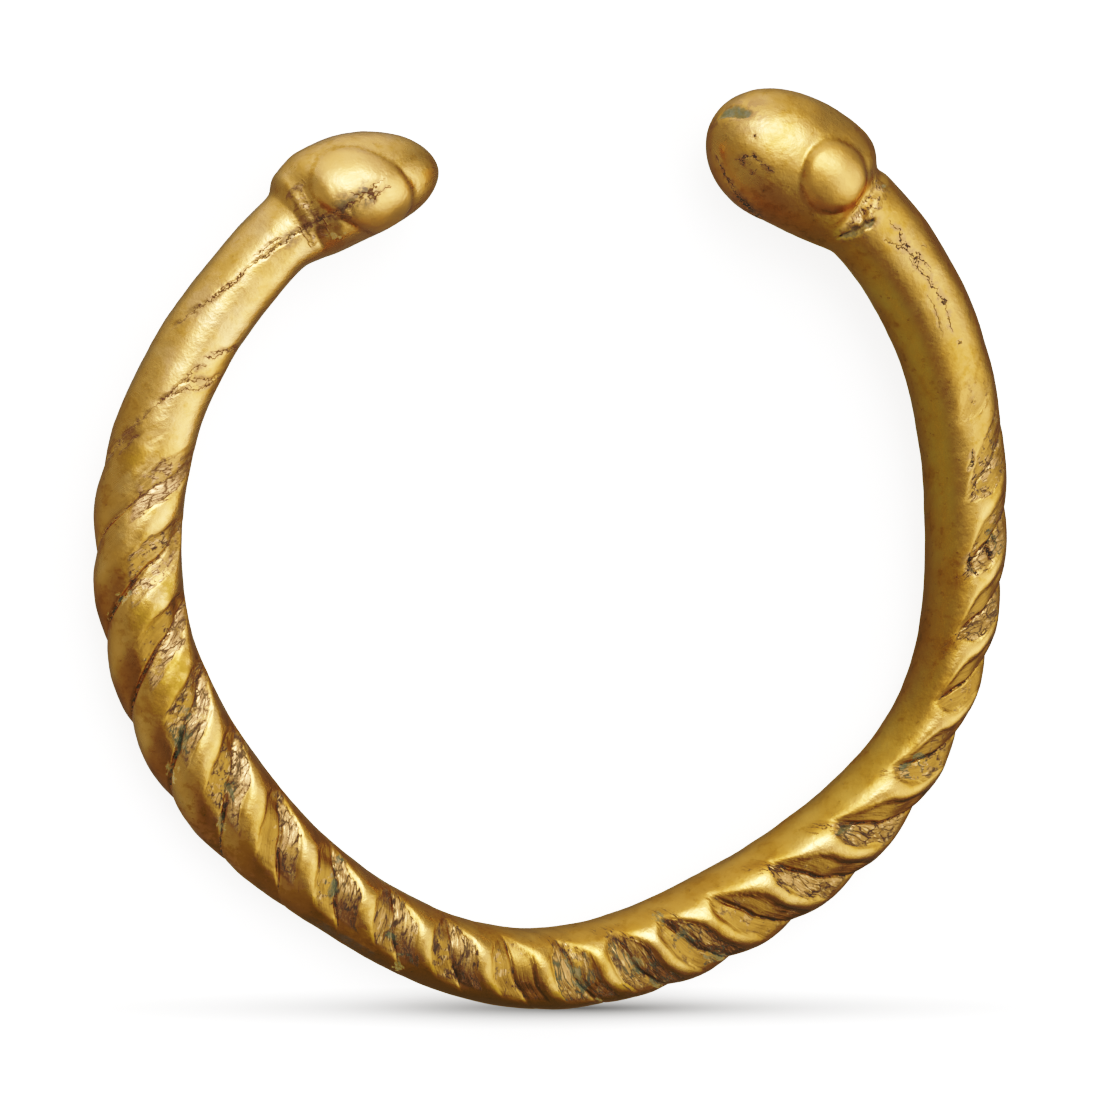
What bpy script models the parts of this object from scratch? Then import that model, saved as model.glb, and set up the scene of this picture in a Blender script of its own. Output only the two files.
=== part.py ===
"""Twisted arm ring: an open ring of one cast rod with a beast's head at each end, lying on its side.

The ring lies along the XY plane with its gap towards +Y. A station is named by its angle in
degrees about the ring's centre. The angles run from the left head's snout at about 106, down
the left arm (180), through the foot of the ring (270) and up the right arm (360) to the right
head's snout at about 429. Round the rod, the angle theta is 0 on the outer side, 90 on top,
180 on the inner side and 270 underneath. Lengths are in millimetres until the mesh is made.
"""

import math
from typing import NamedTuple

import bmesh
import bpy
import numpy as np
from mathutils import Matrix, Vector

MM = 0.001

# Ring and rod
RING_RADIUS = 34.0
ROD_HALF_WIDTH = 3.85
ROD_HALF_HEIGHT = 3.9
INNER_FACE_POWER = 0.74

# Station angle, and the centre line's distance from the ring's centre as a share of RING_RADIUS
CENTRE_KEYS = (
    (100, 0.975),
    (112, 1.005),
    (122, 1.039),
    (134, 1.036),
    (155, 1.034),
    (180, 1.024),
    (210, 0.980),
    (240, 0.966),
    (268, 1.010),
    (300, 1.010),
    (320, 1.053),
    (340, 1.091),
    (365, 1.098),
    (390, 1.142),
    (406, 1.156),
    (418, 1.140),
    (434, 1.080),
)

# Station angle, and the rod's half width and half height as shares of their nominal sizes
ROD_KEYS = (
    (106, 0.86, 0.88),
    (132, 0.89, 0.92),
    (145, 0.91, 0.95),
    (160, 0.98, 0.98),
    (172, 1.05, 1.00),
    (185, 1.05, 1.01),
    (202, 1.12, 1.02),
    (218, 1.10, 1.03),
    (235, 0.95, 1.03),
    (255, 0.94, 1.04),
    (272, 1.01, 1.05),
    (288, 1.11, 1.05),
    (308, 1.14, 1.03),
    (322, 1.07, 0.99),
    (337, 0.87, 0.97),
    (348, 0.92, 0.97),
    (365, 1.03, 0.99),
    (385, 1.08, 1.02),
    (404, 1.12, 1.02),
    (430, 1.02, 1.00),
)

# Station angle, and the turn of the smooth inner face towards the underside, in degrees
ROLL_KEYS = ((110, 0), (165, 8), (215, 4), (270, -4), (320, -12), (390, -14), (425, -4))

# Twist: three flutes wind round the rod. Phase is counted in flutes, with a crease at each whole
# number. Flutes are ropes side by side near the outer side. On top they are rounded crests
# between grooves: a groove's sides rise from its crease to the strip edge of the flute that
# follows and to the lap edge of the flute before.
FLUTES_PER_TURN = 3
ROPE_DEPTH = 0.55
GROOVE_DEPTH = 0.78
GROOVE_EDGE_SHARE = 0.55
CREST_EDGE_SHARE = 0.28
EDGE_HALF_PHASE = 0.05
CREASE_DEPTH = 0.10
CREASE_HALF_PHASE = 0.07
LAP_PHASE = 0.66

# Station angle, and the phase after a crease where the strip edge lies
STRIP_EDGE_KEYS = ((180, 0.24), (215, 0.29), (245, 0.35), (300, 0.37))

# A groove narrows by this share over this span of theta before its inner end
TAPER_SHARE = 0.85
TAPER_SPAN = 45.0

# Station angle, and the theta where ropes begin to turn into crests and grooves
GROOVE_FROM_KEYS = ((215, 58), (250, 45), (290, 25))
GROOVE_SPAN = 30.0

# Station angle, and the number of flute creases passed there
FLUTE_COUNT_KEYS = (
    (100, -4.3),
    (125, -4.1),
    (145, -3.0),
    (165, -1.1),
    (190, 1.25),
    (215, 3.5),
    (240, 5.85),
    (265, 8.5),
    (290, 11.3),
    (315, 13.8),
    (340, 16.1),
    (365, 18.8),
    (385, 20.7),
    (405, 22.0),
    (425, 22.4),
)

# Station angle, and how deep the flutes are there as a share of their full depth
FLUTE_STRENGTH_KEYS = (
    (160, 0.0),
    (174, 0.75),
    (200, 1.0),
    (235, 0.9),
    (262, 0.75),
    (300, 0.95),
    (340, 1.0),
    (362, 0.6),
    (384, 0.0),
)

# Station angle, and the theta on top where the flutes run out onto the smooth inner face
FLUTE_END_KEYS = ((160, 172), (200, 165), (245, 156), (290, 142), (320, 128), (355, 118), (388, 110))
FLUTE_END_FADE = 24.0

# Station angle, and how many flutes the flutes lag behind an even twist as they run out. On the
# inner face and underneath, that lag is made up.
FLUTE_LAG_KEYS = ((185, 0.10), (228, 0.14), (243, 0.33), (262, 0.33), (280, 0.25), (292, 0.0))
LAG_FROM = 60.0
LAG_BACK = 350.0

# Station angle, and how far wear has smoothed the flutes along the outer side, from 0 to 1
WEAR_KEYS = ((204, 0.0), (228, 0.8), (250, 1.0), (272, 0.8), (294, 0.15), (315, 0.0))
WEAR_FULL_THETA = 32.0
WEAR_CLEAR_THETA = 66.0


class Head(NamedTuple):
    """An egg along the centre line, with an eye boss on top and underneath.

    Places are given by the distance back from the snout, along the centre line. Each side is
    widest at its own place, and closes from there over its tail. The eye boss is an oval whose
    length is turned outward by eye_slant degrees from the centre line.
    """

    snout_angle: float
    outer_widest: float
    outer_tail: float
    outer_power: float
    inner_widest: float
    inner_tail: float
    inner_power: float
    outer_half_width: float
    inner_half_width: float
    half_height: float
    eye_back: float
    eye_out: float
    eye_length: float
    eye_width: float
    eye_slant: float
    eye_power: float
    eye_height: float
    eye_rim: float
    collar_back: float
    collar_slant: float


LEFT_HEAD = Head(
    snout_angle=107.0,
    outer_widest=9.4,
    outer_tail=4.2,
    outer_power=3.0,
    inner_widest=9.0,
    inner_tail=8.2,
    inner_power=2.0,
    outer_half_width=5.05,
    inner_half_width=4.7,
    half_height=5.0,
    eye_back=7.25,
    eye_out=-0.1,
    eye_length=9.2,
    eye_width=6.1,
    eye_slant=47.0,
    eye_power=2.4,
    eye_height=1.0,
    eye_rim=0.35,
    collar_back=12.9,
    collar_slant=-0.6,
)
RIGHT_HEAD = Head(
    snout_angle=429.0,
    outer_widest=7.8,
    outer_tail=6.7,
    outer_power=4.4,
    inner_widest=6.8,
    inner_tail=12.0,
    inner_power=2.4,
    outer_half_width=5.95,
    inner_half_width=5.6,
    half_height=4.8,
    eye_back=9.75,
    eye_out=0.1,
    eye_length=5.6,
    eye_width=5.5,
    eye_slant=0.0,
    eye_power=2.0,
    eye_height=1.4,
    eye_rim=0.45,
    collar_back=15.0,
    collar_slant=-0.3,
)
HEAD_BLEND = 0.5
EYE_STEP_SHARE = 0.45

# The round head turns into the rod's flatter section from this far ahead of its collar to this
# far behind it
ROD_AHEAD = 3.0
ROD_BEHIND = 4.0

# Sunk neck between a head's eye bosses and the collar where the arm begins. It is deepest on
# top and underneath, shallower on the outer side, and fades out round to the inner side.
NECK_DEPTH = 0.5
NECK_LENGTH = 2.6
NECK_OUTER_SHARE = 0.3
NECK_FADE_FROM = 102
NECK_FADE_TO = 154
COLLAR_STEP = 0.6

# Flats worn where the ring lies on its foot and its two heads
REST_FLAT_DEPTH = 0.25
LAYING_TURNS = 4

# Mesh
COLUMNS_PER_FLUTE = 10
FLUTED_STEP = 1.4
PLAIN_STEP = 2.0
HEAD_STEP = 0.7
SNOUT_RINGS = 6
SNOUT_SHARE = 0.4
FLUTED_FROM = 164
FLUTED_TO = 384

CAST_BRONZE_GOLD = (0.80, 0.55, 0.17, 1.0)


def natural_spline(keys):
    """A smooth curve through (place, value) keys, straight beyond its ends."""
    x = np.array([key[0] for key in keys], float)
    y = np.array([key[1] for key in keys], float)
    gap = np.diff(x)
    slope = np.diff(y) / gap
    matrix = np.eye(len(x))
    right = np.zeros(len(x))
    for i in range(1, len(x) - 1):
        matrix[i, i - 1 : i + 2] = gap[i - 1], 2 * (gap[i - 1] + gap[i]), gap[i]
        right[i] = 6 * (slope[i] - slope[i - 1])
    bend = np.linalg.solve(matrix, right)
    first = slope[0] - gap[0] * (2 * bend[0] + bend[1]) / 6
    last = slope[-1] + gap[-1] * (bend[-2] + 2 * bend[-1]) / 6

    def value(at):
        at = np.asarray(at, float)
        inside = np.clip(at, x[0], x[-1])
        i = np.clip(np.searchsorted(x, inside) - 1, 0, len(gap) - 1)
        left, rest = inside - x[i], x[i + 1] - inside
        curve = (bend[i] * rest**3 + bend[i + 1] * left**3) / (6 * gap[i])
        curve += (y[i] / gap[i] - bend[i] * gap[i] / 6) * rest
        curve += (y[i + 1] / gap[i] - bend[i + 1] * gap[i] / 6) * left
        return curve + np.minimum(at - x[0], 0) * first + np.maximum(at - x[-1], 0) * last

    return value


def smoothstep(low, high, value):
    share = np.clip((value - low) / (high - low), 0.0, 1.0)
    return share * share * (3.0 - 2.0 * share)


def held_ends(keys):
    """The spline through the keys, level beyond them and kept between their extremes."""
    curve = natural_spline(keys)
    values = [key[1] for key in keys]
    return lambda at: np.clip(curve(np.clip(at, keys[0][0], keys[-1][0])), min(values), max(values))


centre_share = natural_spline(CENTRE_KEYS)
width_share = natural_spline([(angle, width) for angle, width, _ in ROD_KEYS])
height_share = natural_spline([(angle, height) for angle, _, height in ROD_KEYS])
face_roll = held_ends(ROLL_KEYS)
flute_count = natural_spline(FLUTE_COUNT_KEYS)
flute_strength = held_ends(FLUTE_STRENGTH_KEYS)
flute_end = held_ends(FLUTE_END_KEYS)
flute_lag = held_ends(FLUTE_LAG_KEYS)
strip_edge = held_ends(STRIP_EDGE_KEYS)
groove_from = held_ends(GROOVE_FROM_KEYS)
outer_wear = held_ends(WEAR_KEYS)


def centre_line(station):
    """The centre line's point in the ring's plane, as an array of (x, y)."""
    radius = RING_RADIUS * centre_share(station)
    turn = np.radians(station)
    return np.stack([radius * np.cos(turn), radius * np.sin(turn)], -1)


FINE_STATIONS = np.linspace(LEFT_HEAD.snout_angle, RIGHT_HEAD.snout_angle, 4001)
STATION_NUDGE = FINE_STATIONS[1] - FINE_STATIONS[0]
FINE_STEPS = np.linalg.norm(np.diff(centre_line(FINE_STATIONS), axis=0), axis=1)
FINE_LENGTHS = np.concatenate([[0.0], np.cumsum(FINE_STEPS)])
ROD_LENGTH = FINE_LENGTHS[-1]


def length_at(station):
    """Distance along the centre line from the left snout."""
    return np.interp(station, FINE_STATIONS, FINE_LENGTHS)


def station_at(length):
    return np.interp(length, FINE_LENGTHS, FINE_STATIONS)


def heads_and_backs(length):
    """Each head, with the distances back from its snout at given lengths from the left snout."""
    return (LEFT_HEAD, length), (RIGHT_HEAD, ROD_LENGTH - length)


def outward(station):
    """The unit vector across the centre line, away from the ring's centre."""
    along = centre_line(station + STATION_NUDGE) - centre_line(station - STATION_NUDGE)
    along /= np.linalg.norm(along, axis=-1, keepdims=True)
    return np.stack([along[..., 1], -along[..., 0]], -1)


def egg(back, widest_back, tail, power):
    """Outline of a head, from 0 to 1, at a distance back from its snout."""
    ahead = np.clip((widest_back - back) / widest_back, 0.0, 1.0)
    behind = np.clip((back - widest_back) / tail, 0.0, 1.0)
    return np.sqrt(np.maximum(1.0 - ahead**2 - behind**power, 0.0))


def soft_max(first, second, blend):
    return 0.5 * (first + second + np.sqrt((first - second) ** 2 + blend**2) - blend)


def section_sizes(station):
    """Outer and inner half width, half height, and how much of the ring is rod at each station."""
    length = length_at(station)
    outer = ROD_HALF_WIDTH * width_share(station)
    inner = outer
    height = ROD_HALF_HEIGHT * height_share(station)
    rod = np.ones_like(length)
    for head, back in heads_and_backs(length):
        grown = smoothstep(0.0, head.inner_widest, back)
        outer_egg = egg(back, head.outer_widest, head.outer_tail, head.outer_power)
        inner_egg = egg(back, head.inner_widest, head.inner_tail, head.inner_power)
        outer = soft_max(outer * grown, head.outer_half_width * outer_egg, HEAD_BLEND * grown)
        inner = soft_max(inner * grown, head.inner_half_width * inner_egg, HEAD_BLEND * grown)
        height = soft_max(height * grown, head.half_height * outer_egg, HEAD_BLEND * grown)
        rod *= smoothstep(head.collar_back - ROD_AHEAD, head.collar_back + ROD_BEHIND, back)
    return outer, inner, height, rod


def from_outer_side(theta):
    """Degrees round the rod from its outer side, the same on top and underneath."""
    return np.abs((theta + 180.0) % 360.0 - 180.0)


def flute_phase(station, theta):
    """Count of flutes passed along the ring and round the rod."""
    end = flute_end(station)
    turned = theta % 360.0
    lag = flute_lag(station) * (smoothstep(LAG_FROM, end, turned) - smoothstep(end, LAG_BACK, turned))
    return flute_count(station) + FLUTES_PER_TURN * theta / 360.0 - lag


def groove_profile(station, from_outer, after_crease):
    """Depth of the crests and grooves on top, as a share of the full depth."""
    end = flute_end(station)
    taper = TAPER_SHARE * smoothstep(end - TAPER_SPAN, end, from_outer)
    strip = strip_edge(station) * (1.0 - taper)
    lap = LAP_PHASE + (1.0 - LAP_PHASE) * taper
    middle = 0.5 * (strip + lap)
    crest = CREST_EDGE_SHARE * (2.0 * (after_crease - middle) / (lap - strip)) ** 2
    to_edge = np.where(after_crease < middle, after_crease / strip, (1.0 - after_crease) / (1.0 - lap))
    groove = 1.0 - (1.0 - GROOVE_EDGE_SHARE) * to_edge
    past_strip = smoothstep(strip - EDGE_HALF_PHASE, strip + EDGE_HALF_PHASE, after_crease)
    past_lap = smoothstep(lap - EDGE_HALF_PHASE, lap + EDGE_HALF_PHASE, after_crease)
    return crest + (groove - crest) * (1.0 - past_strip + past_lap)


def flute_cut(station, theta):
    """How far the flutes cut into the rod's surface."""
    phase = flute_phase(station, theta)
    after_crease = phase - np.floor(phase)
    from_crease = np.minimum(after_crease, 1.0 - after_crease)
    from_outer = from_outer_side(theta)
    rope = (1.0 - 2.0 * from_crease) ** 2
    start = groove_from(station)
    on_top = smoothstep(start, start + GROOVE_SPAN, from_outer)
    cut = ROPE_DEPTH * rope * (1.0 - on_top)
    cut = cut + GROOVE_DEPTH * groove_profile(station, from_outer, after_crease) * on_top
    cut = cut + CREASE_DEPTH * (1.0 - smoothstep(0.0, CREASE_HALF_PHASE, from_crease))

    end = flute_end(station)
    reach = 1.0 - smoothstep(end - FLUTE_END_FADE, end, from_outer)
    worn = outer_wear(station) * (1.0 - smoothstep(WEAR_FULL_THETA, WEAR_CLEAR_THETA, from_outer))
    return cut * flute_strength(station) * reach * (1.0 - worn)


def neck_cut(length, theta):
    """How far the neck behind each head is sunk, with a step up to the arm at the collar."""
    angle = np.radians(theta)
    fade = 1.0 - smoothstep(NECK_FADE_FROM, NECK_FADE_TO, from_outer_side(theta))
    reach = fade * (NECK_OUTER_SHARE + (1.0 - NECK_OUTER_SHARE) * np.sin(angle) ** 2)
    cut = np.zeros_like(length)
    for head, back in heads_and_backs(length):
        collar = head.collar_back + head.collar_slant * np.cos(angle)
        sunk = smoothstep(collar - NECK_LENGTH, collar - COLLAR_STEP, back)
        cut = cut + sunk * (1.0 - smoothstep(collar - COLLAR_STEP, collar, back))
    return NECK_DEPTH * cut * reach


def eye_rise(head, back, out):
    """Height of a head's eye boss, at points given along and across the centre line."""
    slant = math.radians(head.eye_slant)
    back, out = back - head.eye_back, out - head.eye_out
    along = np.abs(back * math.cos(slant) + out * math.sin(slant)) / (0.5 * head.eye_length)
    across = np.abs(out * math.cos(slant) - back * math.sin(slant)) / (0.5 * head.eye_width)
    inside = np.clip(1.0 - along**head.eye_power - across**head.eye_power, 0.0, 1.0)
    step = EYE_STEP_SHARE * smoothstep(0.0, head.eye_rim, inside)
    return head.eye_height * (step + (1.0 - EYE_STEP_SHARE) * inside)


def ring_surface(station, theta):
    """Points of the ring's surface before it is laid down, for arrays of stations and thetas."""
    outer, inner, height, rod = section_sizes(station)
    length = length_at(station)
    roll = face_roll(station)
    own = np.radians(theta - roll)
    power = 1.0 - (1.0 - INNER_FACE_POWER) * rod
    cosine = np.cos(own)
    across = np.where(cosine < 0, -inner * np.abs(cosine) ** power, outer * cosine)
    up = height * np.sin(own)

    cut = flute_cut(station, theta) * rod + neck_cut(length, theta)
    shrink = 1.0 - cut / np.hypot(across, up)
    across, up = across * shrink, up * shrink

    lean = np.radians(roll)
    out = across * np.cos(lean) - up * np.sin(lean)
    rise = across * np.sin(lean) + up * np.cos(lean)
    upright = np.clip(2.0 * rise / height, -1.0, 1.0)
    for head, back in heads_and_backs(length):
        rise = rise + upright * eye_rise(head, back, out)

    plan = centre_line(station) + outward(station) * out[..., None]
    return np.concatenate([plan, rise[..., None]], -1)


def mesh_stations():
    """Stations from snout to snout, close together on the heads and the flutes."""
    left_snout = SNOUT_SHARE * LEFT_HEAD.inner_widest
    right_snout = SNOUT_SHARE * RIGHT_HEAD.inner_widest
    left_collar = LEFT_HEAD.collar_back + COLLAR_STEP
    right_collar = ROD_LENGTH - RIGHT_HEAD.collar_back - COLLAR_STEP
    fluted_from, fluted_to = length_at(FLUTED_FROM), length_at(FLUTED_TO)
    spans = (
        (left_snout, left_collar, HEAD_STEP),
        (left_collar, fluted_from, PLAIN_STEP),
        (fluted_from, fluted_to, FLUTED_STEP),
        (fluted_to, right_collar, PLAIN_STEP),
        (right_collar, ROD_LENGTH - right_snout, HEAD_STEP),
    )
    rounding = 1.0 - np.cos(np.linspace(0.0, 0.5 * math.pi, SNOUT_RINGS + 1)[1:-1])
    lengths = list(left_snout * rounding)
    for low, high, step in spans:
        lengths += list(np.linspace(low, high, max(2, math.ceil((high - low) / step)), endpoint=False))
    lengths.append(ROD_LENGTH - right_snout)
    lengths += list((ROD_LENGTH - right_snout * rounding)[::-1])
    return station_at(np.array(lengths))


def column_thetas(station):
    """Theta of each mesh column at a station. Columns follow the flutes, evenly spaced by phase."""
    wanted = np.arange(FLUTES_PER_TURN * COLUMNS_PER_FLUTE) / COLUMNS_PER_FLUTE
    turns = np.arange(361.0)
    passed = flute_phase(station, turns)
    return np.interp(passed[0] + (wanted - passed[0]) % FLUTES_PER_TURN, passed, turns)


def ring_mesh():
    """The closed skin of the ring. Its columns follow the flutes, so each crease is one edge line."""
    stations = mesh_stations()
    theta = np.array([column_thetas(station) for station in stations])
    columns = theta.shape[1]
    rings = ring_surface(np.repeat(stations[:, None], columns, 1), theta)

    mesh = bmesh.new()
    grid = [[mesh.verts.new(Vector(point)) for point in ring] for ring in rings]
    for ring, after in zip(grid, grid[1:]):
        for i in range(columns):
            j = (i + 1) % columns
            mesh.faces.new((ring[i], ring[j], after[j], after[i]))
    snouts = ((grid[0][::-1], LEFT_HEAD.snout_angle), (grid[-1], RIGHT_HEAD.snout_angle))
    for ring, station in snouts:
        x, y = centre_line(np.array(station))
        tip = mesh.verts.new((x, y, 0.0))
        for i in range(columns):
            mesh.faces.new((ring[i], ring[(i + 1) % columns], tip))
    bmesh.ops.recalc_face_normals(mesh, faces=mesh.faces)
    return mesh


def lay_down(mesh):
    """Turns the ring so that it lies on its three lowest places: each head and the foot."""
    gap_middle = 0.5 * (LEFT_HEAD.snout_angle + RIGHT_HEAD.snout_angle - 360.0)
    left_collar = station_at(LEFT_HEAD.collar_back) - gap_middle
    right_collar = station_at(ROD_LENGTH - RIGHT_HEAD.collar_back) - gap_middle
    for _ in range(LAYING_TURNS):
        lowest = {}
        for vert in mesh.verts:
            angle = (math.degrees(math.atan2(vert.co.y, vert.co.x)) - gap_middle) % 360.0
            if angle < left_collar:
                place = "left head"
            elif angle > right_collar:
                place = "right head"
            else:
                place = "foot"
            if place not in lowest or vert.co.z < lowest[place].z:
                lowest[place] = vert.co.copy()
        left, right, foot = lowest["left head"], lowest["right head"], lowest["foot"]
        normal = (right - foot).cross(left - foot).normalized()
        turn = normal.rotation_difference(Vector((0, 0, 1))).to_matrix().to_4x4()
        mesh.transform(turn)
    bottom = min(vert.co.z for vert in mesh.verts)
    mesh.transform(Matrix.Translation((0, 0, -bottom - REST_FLAT_DEPTH)))


def wear_flats(mesh):
    """Cuts the lowest places off flat at z = 0, where the ring rests."""
    geometry = list(mesh.verts) + list(mesh.edges) + list(mesh.faces)
    cut = bmesh.ops.bisect_plane(
        mesh, geom=geometry, plane_co=(0, 0, 0), plane_no=(0, 0, 1), clear_inner=True, dist=1e-5
    )
    rim = [item for item in cut["geom_cut"] if isinstance(item, bmesh.types.BMEdge)]
    bmesh.ops.edgenet_fill(mesh, edges=rim)
    bmesh.ops.recalc_face_normals(mesh, faces=mesh.faces)


def centre_on_base(mesh):
    """Moves the ring so that the middle of its footprint is the origin."""
    low = [min(vert.co[i] for vert in mesh.verts) for i in range(3)]
    high = [max(vert.co[i] for vert in mesh.verts) for i in range(3)]
    middle = Vector(((low[0] + high[0]) / 2, (low[1] + high[1]) / 2, low[2]))
    mesh.transform(Matrix.Translation(-middle))


def gold_material():
    material = bpy.data.materials.new("gilt bronze")
    material.use_nodes = True
    shader = material.node_tree.nodes["Principled BSDF"]
    shader.inputs["Base Color"].default_value = CAST_BRONZE_GOLD
    shader.inputs["Metallic"].default_value = 1.0
    shader.inputs["Roughness"].default_value = 0.3
    return material


def build_ring():
    mesh = ring_mesh()
    lay_down(mesh)
    wear_flats(mesh)
    centre_on_base(mesh)
    mesh.transform(Matrix.Scale(MM, 4))
    data = bpy.data.meshes.new("arm_ring")
    mesh.to_mesh(data)
    mesh.free()
    data.materials.append(gold_material())
    data.shade_smooth()
    ring = bpy.data.objects.new("arm_ring", data)
    bpy.context.scene.collection.objects.link(ring)
    return ring


for old in list(bpy.data.objects):
    bpy.data.objects.remove(old, do_unlink=True)
build_ring()
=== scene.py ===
"""Looks of the twisted arm ring: worn gilding over cast bronze, with copper-brown strips, cracks and
green deposits in its flutes.

One fine mesh stands for the whole ring. It has the form of the solid ring, in the same terms: a
station is an angle in degrees about the ring's centre, from the left head's snout at about 106,
through the foot at 270, to the right head's snout at about 429. Round the rod, theta is 0 on the
outer side, 90 on top, 180 on the inner side and 270 underneath. Sizes of the ring are in
millimetres until its mesh is made, and the rest of the scene is in metres.
"""

import math
from types import SimpleNamespace
from typing import NamedTuple

import bpy
import numpy as np
from mathutils import Matrix, Vector, noise


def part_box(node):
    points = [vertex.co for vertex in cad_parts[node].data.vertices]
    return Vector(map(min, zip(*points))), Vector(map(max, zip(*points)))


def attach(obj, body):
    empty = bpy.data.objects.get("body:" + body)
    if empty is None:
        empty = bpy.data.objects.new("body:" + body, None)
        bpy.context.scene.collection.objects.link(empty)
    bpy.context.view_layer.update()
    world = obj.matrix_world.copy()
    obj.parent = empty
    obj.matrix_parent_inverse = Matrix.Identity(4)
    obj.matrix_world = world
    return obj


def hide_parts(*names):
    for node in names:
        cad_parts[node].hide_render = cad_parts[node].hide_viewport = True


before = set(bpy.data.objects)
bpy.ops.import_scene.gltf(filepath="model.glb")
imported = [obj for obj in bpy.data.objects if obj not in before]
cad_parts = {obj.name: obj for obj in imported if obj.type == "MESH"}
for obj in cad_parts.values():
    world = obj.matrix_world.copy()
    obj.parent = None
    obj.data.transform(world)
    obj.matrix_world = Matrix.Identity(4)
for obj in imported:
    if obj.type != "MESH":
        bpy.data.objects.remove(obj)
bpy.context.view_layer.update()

MM = 0.001


def natural_spline(*keys):
    """A smooth curve through (place, value) keys, straight beyond its ends."""
    x = np.array([key[0] for key in keys], float)
    y = np.array([key[1] for key in keys], float)
    gap = np.diff(x)
    slope = np.diff(y) / gap
    matrix = np.eye(len(x))
    right = np.zeros(len(x))
    for i in range(1, len(x) - 1):
        matrix[i, i - 1 : i + 2] = gap[i - 1], 2 * (gap[i - 1] + gap[i]), gap[i]
        right[i] = 6 * (slope[i] - slope[i - 1])
    bend = np.linalg.solve(matrix, right)
    first = slope[0] - gap[0] * (2 * bend[0] + bend[1]) / 6
    last = slope[-1] + gap[-1] * (bend[-2] + 2 * bend[-1]) / 6

    def value(at):
        at = np.asarray(at, float)
        inside = np.clip(at, x[0], x[-1])
        i = np.clip(np.searchsorted(x, inside) - 1, 0, len(gap) - 1)
        left, rest = inside - x[i], x[i + 1] - inside
        curve = (bend[i] * rest**3 + bend[i + 1] * left**3) / (6 * gap[i])
        curve += (y[i] / gap[i] - bend[i] * gap[i] / 6) * rest
        curve += (y[i + 1] / gap[i] - bend[i + 1] * gap[i] / 6) * left
        return curve + np.minimum(at - x[0], 0) * first + np.maximum(at - x[-1], 0) * last

    return value


def smoothstep(low, high, value):
    share = np.clip((value - low) / (high - low), 0.0, 1.0)
    return share * share * (3.0 - 2.0 * share)


def held_ends(*keys):
    """The spline through the keys, level beyond them and kept between their extremes."""
    curve = natural_spline(*keys)
    values = [key[1] for key in keys]
    return lambda at: np.clip(curve(np.clip(at, keys[0][0], keys[-1][0])), min(values), max(values))


# Ring and rod
RING_RADIUS = 34.0
ROD_HALF_WIDTH = 3.85
ROD_HALF_HEIGHT = 3.9
INNER_FACE_POWER = 0.74

# Each curve runs through pairs of a station angle and the value that its comment names. This one
# is the centre line's distance from the ring's centre as a share of RING_RADIUS.
centre_share = natural_spline(
    (100, 0.975), (112, 1.005), (122, 1.039), (134, 1.036), (155, 1.034), (180, 1.024), (210, 0.980),
    (240, 0.966), (268, 1.010), (300, 1.010), (320, 1.053), (340, 1.091), (365, 1.098), (390, 1.142),
    (406, 1.156), (418, 1.140), (434, 1.080),
)

# Station angle, and the rod's half width and half height as shares of their nominal sizes
ROD_KEYS = (
    (106, 0.86, 0.88), (132, 0.89, 0.92), (145, 0.91, 0.95), (160, 0.98, 0.98), (172, 1.05, 1.00),
    (185, 1.05, 1.01), (202, 1.12, 1.02), (218, 1.10, 1.03), (235, 0.95, 1.03), (255, 0.94, 1.04),
    (272, 1.01, 1.05), (288, 1.11, 1.05), (308, 1.14, 1.03), (322, 1.07, 0.99), (337, 0.87, 0.97),
    (348, 0.92, 0.97), (365, 1.03, 0.99), (385, 1.08, 1.02), (404, 1.12, 1.02), (430, 1.02, 1.00),
)
width_share = natural_spline(*((angle, width) for angle, width, _ in ROD_KEYS))
height_share = natural_spline(*((angle, height) for angle, _, height in ROD_KEYS))

# The turn of the smooth inner face towards the underside, in degrees
face_roll = held_ends((110, 0), (165, 8), (215, 4), (270, -4), (320, -12), (390, -14), (425, -4))

# Twist: three flutes wind round the rod. Phase is counted in flutes, with a crease at each whole
# number. Flutes are ropes side by side near the outer side. On top they are rounded crests
# between grooves: a groove's sides rise from its crease to the strip edge of the flute that
# follows and to the lap edge of the flute before.
FLUTES_PER_TURN = 3
ROPE_DEPTH = 0.55
GROOVE_DEPTH = 0.78
GROOVE_EDGE_SHARE = 0.60
CREST_EDGE_SHARE = 0.26
EDGE_HALF_PHASE = 0.025
CREASE_DEPTH = 0.20
CREASE_HALF_PHASE = 0.045
LAP_PHASE = 0.66

# The phase after a crease where the strip edge lies
strip_edge = held_ends((180, 0.24), (215, 0.29), (245, 0.35), (300, 0.37))

# How rough each groove's two faces are, from 0, smooth, to 1, torn and crackled: the one after its
# crease and the one before it, in turn from the left arm's first groove
FACE_ROUGHNESS = (
    (1.0, 0.3), (0.4, 0.4), (0.8, 0.2), (0.8, 0.7), (0.9, 0.5), (0.8, 0.1), (0.9, 0.2), (0.8, 0.8),
    (0.9, 0.4), (0.1, 0.2), (0.5, 1.0), (0.9, 0.8), (0.9, 0.2), (0.1, 0.1), (0.1, 1.0), (0.1, 0.9),
    (0.1, 0.5), (0.0, 0.1), (0.1, 1.0), (0.4, 0.9), (0.4, 0.5), (0.2, 0.2),
)

# A groove narrows by this share over this span of theta before its inner end
TAPER_SHARE = 0.85
TAPER_SPAN = 45.0

# The theta where ropes begin to turn into crests and grooves
groove_from = held_ends((215, 58), (250, 45), (290, 25))
GROOVE_SPAN = 30.0

# The number of flute creases passed
flute_count = natural_spline(
    (100, -4.3), (125, -4.1), (145, -3.0), (165, -1.1), (190, 1.25), (215, 3.5), (240, 5.85),
    (265, 8.5), (290, 11.3), (315, 13.8), (340, 16.1), (365, 18.8), (385, 20.7), (405, 22.0),
    (425, 22.4),
)

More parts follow.
